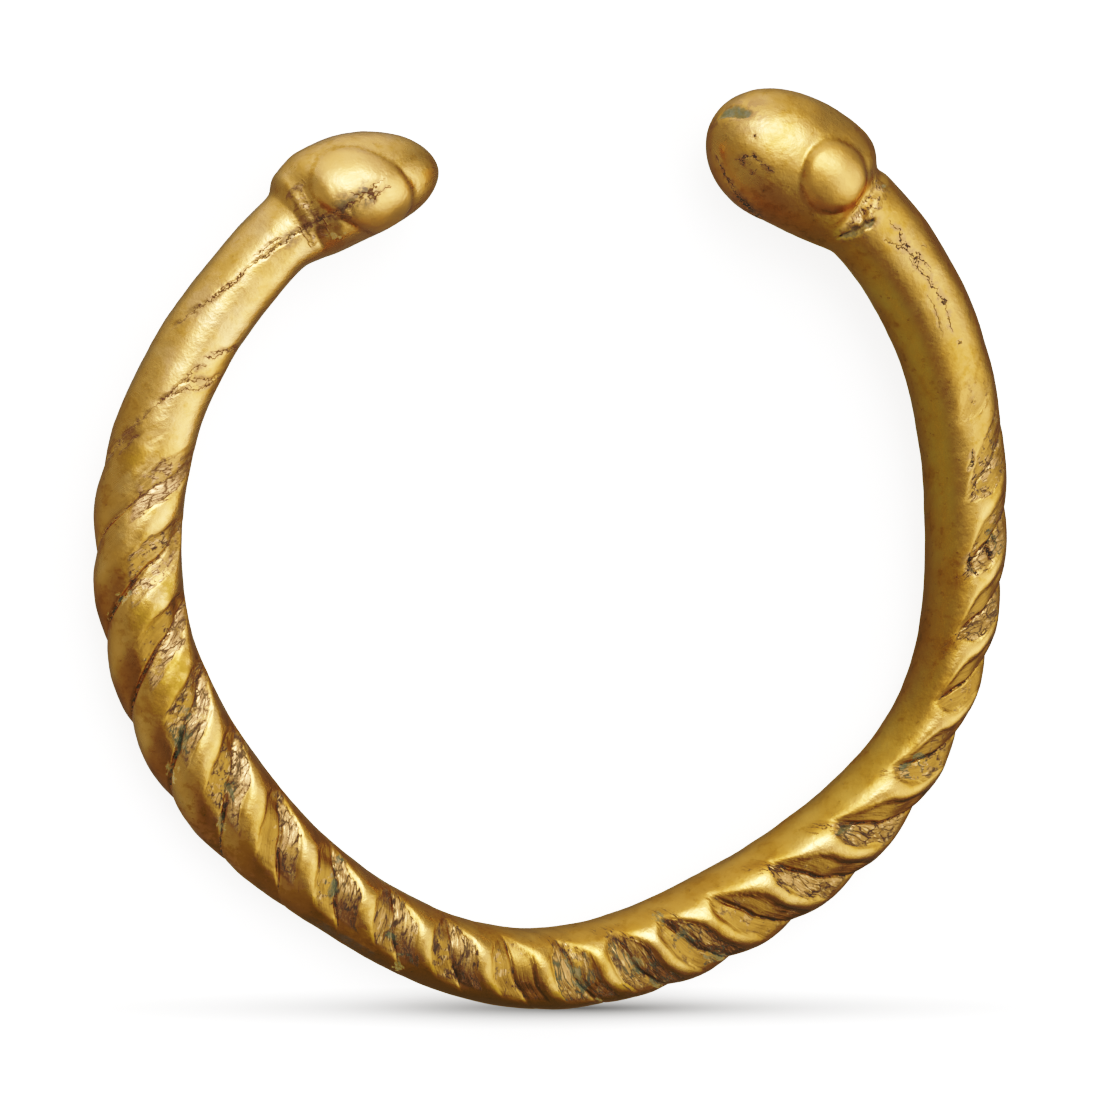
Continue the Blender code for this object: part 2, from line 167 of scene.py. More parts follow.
# How deep the flutes are as a share of their full depth
flute_strength = held_ends(
    (160, 0.0), (174, 0.75), (200, 1.0), (235, 0.9), (262, 0.75), (300, 0.95), (340, 1.0), (362, 0.7),
    (386, 0.0),
)

# The theta on top where the flutes run out onto the smooth inner face
flute_end = held_ends((160, 172), (200, 165), (245, 156), (290, 142), (320, 128), (355, 118), (388, 110))
FLUTE_END_FADE = 32.0

# How many flutes the flutes lag behind an even twist as they run out. On the inner face and
# underneath, that lag is made up.
flute_lag = held_ends((185, 0.10), (228, 0.14), (243, 0.33), (262, 0.33), (280, 0.25), (292, 0.0))
LAG_FROM = 60.0
LAG_BACK = 350.0

# How far wear has smoothed the flutes along the outer side, from 0 to 1
outer_wear = held_ends((204, 0.0), (228, 0.8), (250, 1.0), (272, 0.8), (294, 0.15), (315, 0.0))
WEAR_FULL_THETA = 32.0
WEAR_CLEAR_THETA = 66.0

# Heads. Each is an egg along the centre line, with an eye boss on top and underneath. Places are
# given by the distance back from the snout, along the centre line. Each side is widest at its own
# place, and closes from there over its tail. The eye boss is an oval whose length is turned
# outward by its slant in degrees. Sizes of the left head, and of the right one
HEAD_SIZES = {
    "snout_angle": (107.0, 429.0),
    "outer_widest": (9.4, 7.8),
    "outer_tail": (4.2, 6.7),
    "outer_power": (3.0, 4.4),
    "inner_widest": (9.0, 6.8),
    "inner_tail": (8.2, 12.0),
    "inner_power": (2.0, 2.4),
    "outer_half_width": (5.05, 5.95),
    "inner_half_width": (4.7, 5.6),
    "half_height": (5.0, 4.8),
    "eye_back": (7.25, 10.1),
    "eye_out": (-0.1, 0.1),
    "eye_length": (9.2, 6.3),
    "eye_width": (6.1, 6.2),
    "eye_slant": (47.0, 0.0),
    "eye_power": (2.4, 2.0),
    "eye_height": (1.0, 1.2),
    "eye_rim": (0.35, 0.42),
    "eye_step_share": (0.33, 0.40),
    "collar_back": (12.9, 15.0),
    "collar_slant": (-0.6, -0.3),
}
LEFT_HEAD, RIGHT_HEAD = (
    SimpleNamespace(**dict(zip(HEAD_SIZES, sizes))) for sizes in zip(*HEAD_SIZES.values())
)
HEAD_BLEND = 0.5

# Share of a head's half height above which its eye boss has its full height
EYE_FULL_SHARE = 0.5

# The round head turns into the rod's flatter section from this far ahead of its collar to this
# far behind it
ROD_AHEAD = 3.0
ROD_BEHIND = 4.0

# Sunk neck between a head's eye bosses and the collar where the arm begins
NECK_DEPTH = 0.5
NECK_LENGTH = 2.6
NECK_OUTER_SHARE = 0.3
NECK_FADE_FROM = 102
NECK_FADE_TO = 154
COLLAR_STEP = 1.0
COLLAR_WOBBLE = 0.25
COLLAR_WOBBLE_SIZE = 1.6
COLLAR_WOBBLE_SEED = 15.8

# The rough band worn along a collar's top: half its width, the theta of its middle, and its reach
# to each side, which is fully open up to another reach
COLLAR_BAND_HALF_WIDTH = 0.65
COLLAR_BAND_THETA = 80.0
COLLAR_BAND_SPAN = 42.0
COLLAR_BAND_OPEN_SPAN = 25.2
COLLAR_BAND_ROUGHNESS = 0.32

# Flats where the ring lies on its foot and its two heads
REST_FLAT_DEPTH = 0.25
LAYING_TURNS = 4

# Fine mesh
COLUMNS_PER_FLUTE = 30
FLUTED_STEP = 0.19
PLAIN_STEP = 0.24
HEAD_STEP = 0.165
SNOUT_RINGS = 14
SNOUT_SHARE = 0.4
FLUTED_FROM = 164
FLUTED_TO = 384
TOP_CROWDING = 0.22
CREASE_CROWDING = 0.35


class Cut(NamedTuple):
    """A crack, gouge or pit in the surface, along points (distance from the snout, theta)."""

    from_right: bool
    points: tuple
    half_width: float
    depth: float
    green: float = 0.0
    blunt: bool = False


def from_both_snouts(kind, left, right):
    """Marks whose places are counted from the left snout, and marks counted from the right one."""
    return [kind(False, *mark) for mark in left] + [kind(True, *mark) for mark in right]


LEFT_CUTS = (
    # the long crack from the left arm up into the eye boss, with its side branch
    (((25.6, 30), (24.3, 42), (22.3, 57), (19.5, 72), (18.3, 72)), 0.16, 0.14),
    (((18.3, 72), (16.3, 83), (14.0, 90), (12.2, 95), (10.5, 97), (9.2, 94)), 0.19, 0.16, 0.1),
    (((17.6, 66), (16.2, 73), (15.0, 77)), 0.09, 0.08),
    # the star of cracks on the left boss
    (((9.6, 103), (8.6, 94), (7.9, 90), (7.0, 88), (6.2, 80)), 0.13, 0.11),
    (((8.9, 83), (7.9, 90), (7.2, 98), (7.3, 106)), 0.12, 0.10),
    (((9.5, 90), (8.8, 94), (7.9, 90), (7.0, 95)), 0.10, 0.08),
    (((7.9, 90), (6.9, 84), (5.8, 83)), 0.08, 0.06),
    (((7.6, 96), (6.4, 95), (5.4, 92)), 0.07, 0.05),
    # the second long crack, across the left arm, with its forks
    (((36.8, -8), (36.4, 2), (34.8, 30), (33.4, 46), (31.9, 60)), 0.13, 0.12),
    (((31.9, 60), (30.5, 73), (29.1, 83), (28.2, 100), (27.5, 121), (26.6, 133)), 0.13, 0.12),
    (((35.8, 34), (34.6, 47), (33.9, 55)), 0.08, 0.07),
    (((30.2, 80), (29.2, 97), (28.6, 110), (27.6, 128), (26.9, 138)), 0.09, 0.07),
    (((28.9, 84), (27.6, 91), (26.8, 101)), 0.09, 0.07),
    (((26.4, 97), (25.2, 114), (24.4, 131), (24.2, 140)), 0.12, 0.08),
    (((25.6, 100), (24.8, 117), (24.4, 131)), 0.07, 0.06),
    # pits in the strips of the foot
    (((57.6, 82), (58.6, 72), (59.6, 52)), 0.20, 0.22, 0.9),
    (((63.2, 96), (64.3, 95), (65.0, 90)), 0.18, 0.20, 0.7),
    (((65.2, 68), (65.9, 53)), 0.20, 0.20, 0.7),
)
RIGHT_CUTS = (
    # the mouth notch in the right snout
    (((0.75, 32), (1.2, 43), (1.9, 52)), 0.50, 0.50, 0.8, True),
    # cracks in the right head
    (((0.6, 136), (1.45, 146), (2.45, 153), (3.7, 160)), 0.16, 0.16),
    (((2.45, 153), (3.7, 160), (5.2, 166), (6.9, 177), (8.0, 186)), 0.26, 0.24),
    (((1.9, 114), (2.45, 104), (3.0, 100), (3.7, 105), (4.3, 106), (5.0, 109)), 0.09, 0.07),
    (((2.3, 117), (2.9, 112)), 0.08, 0.06),
    (((3.4, 113), (3.2, 122)), 0.07, 0.05),
    (((2.6, 78), (2.7, 86)), 0.08, 0.06),
    # the slot along the right collar
    (((14.5, 136), (14.9, 122), (15.3, 104), (15.4, 94)), 0.40, 0.35, 0.55),
    (((14.5, 52), (14.6, 44)), 0.25, 0.12, 0.6),
    # cracks on top of the right arm
    (((16.3, 80), (17.5, 79), (18.3, 82), (19.2, 80)), 0.09, 0.07),
    (((17.4, 97), (18.4, 90), (19.4, 84), (20.6, 79), (22.0, 74)), 0.10, 0.08),
    (((19.8, 68), (20.6, 64)), 0.08, 0.06),
    (((20.0, 88), (22.3, 82), (24.2, 80), (26.0, 80), (27.6, 84)), 0.10, 0.08),
    (((23.4, 90), (25.4, 92), (27.4, 96)), 0.07, 0.05),
    (((28.4, 80), (28.6, 78)), 0.13, 0.07),
    # holes and pits in the flutes of the right arm
    (((46.0, 76), (46.7, 71), (47.2, 68)), 0.30, 0.45, 0.1),
    (((46.8, 104), (47.4, 105), (47.9, 99), (48.4, 92)), 0.24, 0.32, 0.2),
    (((44.8, 68), (45.4, 60), (45.9, 55)), 0.22, 0.25, 0.5),
    (((37.6, 92), (38.6, 96), (39.4, 103)), 0.14, 0.16, 0.2),
    # pits in the strips of the foot
    (((74.9, 104), (74.2, 107), (73.4, 102)), 0.26, 0.25, 0.6),
)
CUTS = from_both_snouts(Cut, LEFT_CUTS, RIGHT_CUTS)


class Patch(NamedTuple):
    """A soft-edged patch of the surface, at a distance from the left or right snout."""

    from_right: bool
    back: float
    theta: float
    radius: float
    strength: float


VERDIGRIS = from_both_snouts(
    Patch,
    (
        (11.2, 121, 0.7, 0.9), (13.0, 118, 0.9, 0.4), (46.7, 56, 1.0, 0.8), (48.4, 30, 1.1, 0.8),
        (56.3, 103, 1.0, 0.8), (58.4, 76, 1.2, 1.0), (60.2, 42, 1.3, 0.8), (63.6, 91, 1.0, 0.7),
        (65.9, 53, 0.9, 0.7), (74.9, 140, 1.0, 0.7), (76.3, 93, 1.2, 0.7), (82.4, 78, 1.0, 0.7),
        (84.6, 44, 1.2, 0.8),
    ),
    (
        (101.8, 98, 1.6, 0.9), (100.4, 68, 1.8, 1.0), (99.3, 36, 1.5, 0.8), (97.3, 113, 1.0, 0.7),
        (95.8, 82, 1.3, 0.9), (94.2, 40, 1.4, 1.0), (92.6, 133, 1.1, 0.7), (90.8, 92, 1.2, 0.8),
        (88.8, 43, 1.3, 0.9), (74.3, 106, 0.9, 0.6), (65.7, 92, 1.4, 0.9), (54.9, 93, 0.7, 0.6),
        (46.4, 54, 0.9, 0.8), (45.0, 66, 0.9, 0.8),
    ),
)

# Grey-brown stains on the plain gold, and amber ones on the flutes
STAINS = from_both_snouts(
    Patch,
    (
        (35.6, 56, 1.3, 0.7), (7.9, 91, 1.0, 1.0), (9.6, 95, 1.1, 0.9), (12.0, 92, 1.3, 0.6),
        (14.4, 88, 1.0, 0.6), (46.0, 116, 1.3, 0.7), (48.1, 77, 1.5, 0.8), (53.3, 92, 1.9, 0.9),
        (55.6, 60, 1.3, 0.6), (80.6, 40, 2.4, 0.8), (78.0, 30, 1.6, 0.7),
    ),
    (
        (4.2, 72, 1.2, 0.3), (5.0, 130, 1.6, 0.2),
    ),
)

# How far the gold is tarnished, from 0 to 1
tarnish = held_ends(
    (160, 0.0), (185, 0.15), (212, 0.35), (235, 0.6), (262, 0.95), (300, 1.0), (335, 1.0), (365, 0.84),
    (390, 0.72), (412, 0.50), (429, 0.42),
)

# How much further the left flutes are darkened on the flanks before their creases, which begin
# at the first of two phases and are full at the second: partly tarnish, partly painted shade
flank_tarnish_and_shade = held_ends((168, 0.0), (184, 0.8), (236, 0.7), (262, 0.0))
FLANK_PHASES = (0.48, 0.70)

# The thetas between which the smooth inner face's matte finish and olive tone set in
INNER_THETAS = (110, 138)

# How far the inner face is matter than the rest, and then how far it is olive: partly a dirt film, partly
# the painted colour of its shade
inner_matte = held_ends((235, 0.0), (262, 1.0), (410, 1.0), (422, 0.0))
olive_film_and_shade_tone = held_ends((300, 0.0), (335, 0.5), (370, 1.0), (408, 1.0), (420, 0.0))

# The dull, cracked ends of the grooves on top: the theta before and after a flute's end where
# they begin and stop, the phases on each side of a crease between which they fade, and how dull
# the smoothest are
WORN_END_BEFORE = 34.0
WORN_END_AFTER = 20.0
WORN_END_PHASES = (0.14, 0.42)
WORN_END_LEAST = 0.3

# The dull band along the worn outer side of the foot: partly worn finish, partly painted shade
DULL_SHADE_THETA = 62.0
DULL_SHADE_SWING = 12.0
DULL_SHADE_FADE = 7.0
DULL_SHADE_PEAK_PHASE = 0.51

# Wander of the cracks from their own lines
CRACK_WANDER = 0.22
CRACK_WANDER_SIZE = 0.7
CRACK_SEEDS = (11.3, 47.9)

# Cuts, in half widths: where their walls begin and end, how far away they still count, and how
# narrow they are at their ends
CUT_WALL = (0.1, 1.1)
CUT_REACH = 8.0
CUT_END_SHARE = 0.15

# How quickly a patch fades outward
PATCH_FADE = 0.7

# Unevenness of the hand-finished casting: the height, size, seed and octaves of its waves, dents
# and ripples
UNEVENNESS = ((0.07, 4.5, 3.7, 1), (0.05, 2.4, 29.4, 1), (0.020, 1.1, 8.2, 2))

# Unevenness of the torn faces in the grooves
STRIP_ROUGHNESS = 0.08
STRIP_GRAIN = 0.5
STRIP_SEED = 5.1
STRIP_SHAPE = (1.0, 0.45, 1.0)
ROUGH_EDGE = 0.06

# A flute's width from crease to crease, and length along it for each millimetre along the ring
FLUTE_WIDTH = 5.0
STRAND_STRETCH = 1.6

# The skin's texture map: bands along the rod, one above the other, and the margin round each
BAKE_BANDS = 3
BAKE_MARGIN = 0.012


def centre_line(station):
    """The centre line's point in the ring's plane, as an array of (x, y)."""
    radius = RING_RADIUS * centre_share(station)
    turn = np.radians(station)
    return np.stack([radius * np.cos(turn), radius * np.sin(turn)], -1)


FINE_COUNT = 4001
FINE_STATIONS = np.linspace(LEFT_HEAD.snout_angle, RIGHT_HEAD.snout_angle, FINE_COUNT)
STATION_NUDGE = FINE_STATIONS[1] - FINE_STATIONS[0]
FINE_STEPS = np.linalg.norm(np.diff(centre_line(FINE_STATIONS), axis=0), axis=1)
FINE_LENGTHS = np.concatenate([[0.0], np.cumsum(FINE_STEPS)])
ROD_LENGTH = FINE_LENGTHS[-1]


def length_at(station):
    """Distance along the centre line from the left snout."""
    return np.interp(station, FINE_STATIONS, FINE_LENGTHS)


def station_at(length):
    return np.interp(length, FINE_LENGTHS, FINE_STATIONS)


def heads_and_backs(length):
    """Each head, with the distances back from its snout at given lengths from the left snout."""
    return (LEFT_HEAD, length), (RIGHT_HEAD, ROD_LENGTH - length)


def outward(station):
    """The unit vector across the centre line, away from the ring's centre."""
    along = centre_line(station + STATION_NUDGE) - centre_line(station - STATION_NUDGE)
    along /= np.linalg.norm(along, axis=-1, keepdims=True)
    return np.stack([along[..., 1], -along[..., 0]], -1)


def egg(back, widest_back, tail, power):
    """Outline of a head, from 0 to 1, at a distance back from its snout."""
    ahead = np.clip((widest_back - back) / widest_back, 0.0, 1.0)
    behind = np.clip((back - widest_back) / tail, 0.0, 1.0)
    return np.sqrt(np.maximum(1.0 - ahead**2 - behind**power, 0.0))


def soft_max(first, second, blend):
    return 0.5 * (first + second + np.sqrt((first - second) ** 2 + blend**2) - blend)


def section_sizes(station):
    """Outer and inner half width, half height, and how much of the ring is rod at each station."""
    length = length_at(station)
    outer = ROD_HALF_WIDTH * width_share(station)
    inner = outer
    height = ROD_HALF_HEIGHT * height_share(station)
    rod = np.ones_like(length)
    for head, back in heads_and_backs(length):
        grown = smoothstep(0.0, head.inner_widest, back)
        outer_egg = egg(back, head.outer_widest, head.outer_tail, head.outer_power)
        inner_egg = egg(back, head.inner_widest, head.inner_tail, head.inner_power)
        outer = soft_max(outer * grown, head.outer_half_width * outer_egg, HEAD_BLEND * grown)
        inner = soft_max(inner * grown, head.inner_half_width * inner_egg, HEAD_BLEND * grown)
        height = soft_max(height * grown, head.half_height * outer_egg, HEAD_BLEND * grown)
        rod *= smoothstep(head.collar_back - ROD_AHEAD, head.collar_back + ROD_BEHIND, back)
    return outer, inner, height, rod


def from_outer_side(theta):
    """Degrees round the rod from its outer side, the same on top and underneath."""
    return np.abs((theta + 180.0) % 360.0 - 180.0)


def flute_phase(station, theta):
    """Count of flutes passed along the ring and round the rod."""
    end = flute_end(station)
    turned = theta % 360.0
    lag = flute_lag(station) * (smoothstep(LAG_FROM, end, turned) - smoothstep(end, LAG_BACK, turned))
    return flute_count(station) + FLUTES_PER_TURN * theta / 360.0 - lag


def flute_depth(station, theta):
    """How fully the flutes are cut, from 0 to 1: they fade at both arms, inside and where worn."""
    from_outer = from_outer_side(theta)
    end = flute_end(station)
    reach = 1.0 - smoothstep(end - FLUTE_END_FADE, end, from_outer)
    worn = outer_wear(station) * (1.0 - smoothstep(WEAR_FULL_THETA, WEAR_CLEAR_THETA, from_outer))
    return flute_strength(station) * reach * (1.0 - worn)


def from_crease(after_crease):
    """The phase from a place to its nearest crease."""
    return np.minimum(after_crease, 1.0 - after_crease)


def on_top(station, theta):
    """How far the flutes are crests and grooves rather than ropes, from 0 to 1."""
    start = groove_from(station)
    return smoothstep(start, start + GROOVE_SPAN, from_outer_side(theta))


def groove_edges(station, theta):
    """Phases after the crease of the strip edge and the lap edge."""
    end = flute_end(station)
    taper = TAPER_SHARE * smoothstep(end - TAPER_SPAN, end, from_outer_side(theta))
    return strip_edge(station) * (1.0 - taper), LAP_PHASE + (1.0 - LAP_PHASE) * taper


def groove_way(station, theta, after_crease):
    """How far, by phase, a place lies inside a groove, and less than zero on a crest."""
    strip, lap = groove_edges(station, theta)
    return np.maximum(strip - after_crease, after_crease - lap)


def flute_cut(station, theta, after_crease):
    """How far the flutes cut into the rod's surface."""
    rope = (1.0 - 2.0 * from_crease(after_crease)) ** 2
    strip, lap = groove_edges(station, theta)
    middle = 0.5 * (strip + lap)
    crest = CREST_EDGE_SHARE * (2.0 * (after_crease - middle) / (lap - strip)) ** 2
    to_edge = np.where(after_crease < middle, after_crease / strip, (1.0 - after_crease) / (1.0 - lap))
    groove = 1.0 - (1.0 - GROOVE_EDGE_SHARE) * to_edge
    inside = groove_way(station, theta, after_crease)
    ridge = crest + (groove - crest) * smoothstep(-EDGE_HALF_PHASE, EDGE_HALF_PHASE, inside)
    ridged = on_top(station, theta)
    cut = ROPE_DEPTH * rope * (1.0 - ridged) + GROOVE_DEPTH * ridge * ridged
    cut = cut + CREASE_DEPTH * (1.0 - smoothstep(0.0, CREASE_HALF_PHASE, from_crease(after_crease)))
    return cut * flute_depth(station, theta)


def neck_cut(length, theta):
    """How far the neck behind each head is sunk, with a step up to the arm at the collar."""
    angle = np.radians(theta)
    fade = 1.0 - smoothstep(NECK_FADE_FROM, NECK_FADE_TO, from_outer_side(theta))
    reach = fade * (NECK_OUTER_SHARE + (1.0 - NECK_OUTER_SHARE) * np.sin(angle) ** 2)
    cut = np.zeros_like(length)
    for head, back in heads_and_backs(length):
        collar = head.collar_back + head.collar_slant * np.cos(angle)
        sunk = smoothstep(collar - NECK_LENGTH, collar - COLLAR_STEP, back)
        cut = cut + sunk * (1.0 - smoothstep(collar - COLLAR_STEP, collar, back))
    return NECK_DEPTH * cut * reach


def eye_rise(head, back, out):
    """Height of a head's eye boss, at points given along and across the centre line."""
    slant = math.radians(head.eye_slant)
    back, out = back - head.eye_back, out - head.eye_out
    along = np.abs(back * math.cos(slant) + out * math.sin(slant)) / (0.5 * head.eye_length)
    across = np.abs(out * math.cos(slant) - back * math.sin(slant)) / (0.5 * head.eye_width)
    inside = np.clip(1.0 - along**head.eye_power - across**head.eye_power, 0.0, 1.0)
    step = head.eye_step_share * smoothstep(0.0, head.eye_rim, inside)
    return head.eye_height * (step + (1.0 - head.eye_step_share) * inside)


def ring_surface(station, theta, cut):
    """Points of the ring's surface before it is laid down, cut into by a given depth, and how far
    each is raised as part of an eye boss, from 0 to 1."""
    outer, inner, height, rod = section_sizes(station)
    length = length_at(station)
    roll = face_roll(station)
    own = np.radians(theta - roll)
    power = 1.0 - (1.0 - INNER_FACE_POWER) * rod
    cosine = np.cos(own)
    across = np.where(cosine < 0, -inner * np.abs(cosine) ** power, outer * cosine)
    up = height * np.sin(own)

    shrink = 1.0 - cut / np.hypot(across, up)
    across, up = across * shrink, up * shrink

    lean = np.radians(roll)
    out = across * np.cos(lean) - up * np.sin(lean)
    rise = across * np.sin(lean) + up * np.cos(lean)
    upright = np.clip(rise / (EYE_FULL_SHARE * height), -1.0, 1.0)
    boss = np.zeros_like(rise)
    for head, back in heads_and_backs(length):
        raised = eye_rise(head, back, out)
        rise = rise + upright * raised
        boss = np.maximum(boss, np.abs(upright) * raised / head.eye_height)

    plan = centre_line(station) + outward(station) * out[..., None]
    return np.concatenate([plan, rise[..., None]], -1), boss


def noise_at(points, size, seed, octaves):
    """Smooth noise, from about -1 to 1, with bumps of the given size."""
    places = (points / size + seed).reshape(-1, 3).tolist()
    values = [noise.fractal(place, 1.0, 2.0, octaves) for place in places]
    return np.array(values).reshape(points.shape[:-1])


def way_to_line(along, around, line):
    """Distance from each point to a line of points, its side of it, and the share of the line passed."""
    nearest = np.full(along.shape, np.inf)
    side = np.ones(along.shape)
    share = np.zeros(along.shape)
    for i, ((a, b), (c, d)) in enumerate(zip(line, line[1:])):
        run = np.array([c - a, d - b])
        t = np.clip(((along - a) * run[0] + (around - b) * run[1]) / (run @ run), 0.0, 1.0)
        way = np.hypot(along - a - t * run[0], around - b - t * run[1])
        closer = way < nearest
        nearest = np.where(closer, way, nearest)
        side = np.where(closer, np.where((along - a) * run[1] > (around - b) * run[0], 1.0, -1.0), side)
        share = np.where(closer, (i + t) / (len(line) - 1), share)
    return nearest, side, share


def surface_places(length, theta, from_right, middle):
    """Places in mm along the ring and round the rod, so that middle is no seam in them."""
    along = length - (ROD_LENGTH if from_right else 0.0)
    along = -along if from_right else along
    turned = (theta - middle + 180.0) % 360.0 - 180.0 + middle
    return along, ROD_HALF_HEIGHT * np.radians(turned)


def cut_marks(length, theta, wander):
    """Depth of all cracks and gouges, the way to the nearest in half widths, its side and greenness."""
    depth = np.zeros(theta.shape)
    nearest = np.full(theta.shape, CUT_REACH)
    side = np.ones(theta.shape)
    green = np.zeros(theta.shape)
    for cut in CUTS:
        middle = sum(at for _, at in cut.points) / len(cut.points)
        along, around = surface_places(length, theta, cut.from_right, middle)
        line = [(back, ROD_HALF_HEIGHT * math.radians(at)) for back, at in cut.points]
        reach = CUT_REACH * cut.half_width
        low = min(back for back, _ in cut.points) - reach
        high = max(back for back, _ in cut.points) + reach
        rows = np.nonzero((along[:, 0] > low) & (along[:, 0] < high))[0]
        along, around = along[rows] + wander[0][rows], around[rows] + wander[1][rows]
        off, to_side, share = way_to_line(along, around, line)
        taper = np.clip(1.0 + CUT_END_SHARE - (2.0 * share - 1.0) ** 2, CUT_END_SHARE, 1.0)
        off = off / (cut.half_width * (1.0 if cut.blunt else np.sqrt(taper)))
        depth[rows] = np.maximum(depth[rows], cut.depth * (1.0 - smoothstep(*CUT_WALL, off)))
        closer = off < nearest[rows]
        green[rows] = np.where(closer, cut.green, green[rows])
        side[rows] = np.where(closer, to_side, side[rows])
        nearest[rows] = np.minimum(nearest[rows], off)
    return depth, nearest, side, green


def patch_field(patches, length, theta):
    """How strongly the patches cover each place, from 0 to 1, fading outward."""
    field = np.zeros(theta.shape)
    for patch in patches:
        along, around = surface_places(length, theta, patch.from_right, patch.theta)
        way = np.hypot(along - patch.back, around - ROD_HALF_HEIGHT * math.radians(patch.theta))
        field = np.maximum(field, patch.strength * np.exp(-PATCH_FADE * (way / patch.radius) ** 2))
    return field


def face_roughness(station, theta, after_crease):
    """How rough the nearest groove's face is on this side of its crease, from 0 to 1."""
    groove = np.round(flute_phase(station, theta)).astype(int) % len(FACE_ROUGHNESS)
    return np.array(FACE_ROUGHNESS)[groove, (after_crease > 0.5).astype(int)]


def collar_band(length, theta):
    """How far, in mm, a place lies inside the worn band along a head's collar, and how open it is there."""
    within = np.full(theta.shape, -CUT_REACH)
    for head, back in heads_and_backs(length):
        collar = head.collar_back + head.collar_slant * np.cos(np.radians(theta)) - 0.5 * COLLAR_STEP
        within = np.maximum(within, COLLAR_BAND_HALF_WIDTH - np.abs(back - collar))
    from_middle = np.abs(from_outer_side(theta) - COLLAR_BAND_THETA)
    return within, 1.0 - smoothstep(COLLAR_BAND_OPEN_SPAN, COLLAR_BAND_SPAN, from_middle)


def dull_and_shade_band(station, theta, after_crease):
    """The dull band along the worn outer side, partly painted shade, reaching furthest up on the crests."""
    reach = DULL_SHADE_THETA + DULL_SHADE_SWING * np.cos(2.0 * np.pi * (after_crease - DULL_SHADE_PEAK_PHASE))
    return outer_wear(station) * (1.0 - smoothstep(reach - DULL_SHADE_FADE, reach, from_outer_side(theta)))


def worn_end(station, theta, after_crease):
    """How far a place lies in the dull end of a groove, where it runs out onto the inner face."""
    end = flute_end(station)
    from_outer = from_outer_side(theta)
    beyond = smoothstep(end - WORN_END_BEFORE, end - FLUTE_END_FADE / 2, from_outer)
    beyond = beyond * (1.0 - smoothstep(end, end + WORN_END_AFTER, from_outer)) * (theta % 360.0 < 180.0)
    beyond = beyond * (1.0 - smoothstep(*WORN_END_PHASES, from_crease(after_crease)))
    return flute_strength(station) * beyond


def mesh_stations():
    """Stations from snout to snout, closest together on the heads and the flutes."""
    left_snout = SNOUT_SHARE * LEFT_HEAD.inner_widest
    right_snout = SNOUT_SHARE * RIGHT_HEAD.inner_widest
    left_collar = LEFT_HEAD.collar_back + COLLAR_STEP
    right_collar = ROD_LENGTH - RIGHT_HEAD.collar_back - COLLAR_STEP
    fluted = [length_at(FLUTED_FROM), length_at(FLUTED_TO)]
    marks = [left_snout, left_collar, *fluted, right_collar, ROD_LENGTH - right_snout]
    steps = (HEAD_STEP, PLAIN_STEP, FLUTED_STEP, PLAIN_STEP, HEAD_STEP)
    rounding = 1.0 - np.cos(np.linspace(0.0, 0.5 * math.pi, SNOUT_RINGS + 1)[1:-1])
    lengths = list(left_snout * rounding)
    for low, high, step in zip(marks, marks[1:], steps):
        lengths += list(np.linspace(low, high, max(2, math.ceil((high - low) / step)), endpoint=False))
    lengths.append(ROD_LENGTH - right_snout)
    lengths += list((ROD_LENGTH - right_snout * rounding)[::-1])
    return station_at(np.array(lengths))


def column_grid(stations):
    """Stations, thetas and phases of the mesh's rings. Columns follow the flutes, closest together at
    each crease, and on the heads they are closest together on top and underneath."""
    columns = FLUTES_PER_TURN * COLUMNS_PER_FLUTE
    even = np.arange(columns) / COLUMNS_PER_FLUTE
    strength = flute_strength(stations)[:, None]
    phase = even[None, :] - CREASE_CROWDING / (2 * math.pi) * strength * np.sin(2 * math.pi * even[None, :])
    turns = np.arange(0.0, 361.0, 1.0)
    theta = np.empty_like(phase)
    for row, station in enumerate(stations):
        passed = flute_phase(station, turns[:-1])
        passed = np.append(passed, passed[0] + FLUTES_PER_TURN)
        wanted = passed[0] + (phase[row] - passed[0]) % FLUTES_PER_TURN
        theta[row] = np.interp(wanted, passed, turns)
    crowding = np.degrees(TOP_CROWDING) * (1.0 - strength)
    theta = theta + crowding * np.sin(2.0 * np.radians(theta))
    return np.repeat(stations[:, None], columns, 1), theta, phase


def laid_down(points):
    """The points turned so that they lie on their lowest places: each head and the foot."""
    gap = 0.5 * (LEFT_HEAD.snout_angle + RIGHT_HEAD.snout_angle - 360.0)
    left_end = station_at(LEFT_HEAD.collar_back) - gap
    right_end = station_at(ROD_LENGTH - RIGHT_HEAD.collar_back) - gap
    angle = (np.degrees(np.arctan2(points[:, 1], points[:, 0])) - gap) % 360.0
    places = (angle < left_end, angle > right_end, (angle >= left_end) & (angle <= right_end))
    for _ in range(LAYING_TURNS):
        left, right, foot = (points[place][points[place, 2].argmin()] for place in places)
        normal = Vector(right - foot).cross(Vector(left - foot)).normalized()
        turn = np.array(normal.rotation_difference(Vector((0, 0, 1))).to_matrix())
        points = points @ turn.T
    points[:, 2] -= points[:, 2].min() + REST_FLAT_DEPTH
    return points


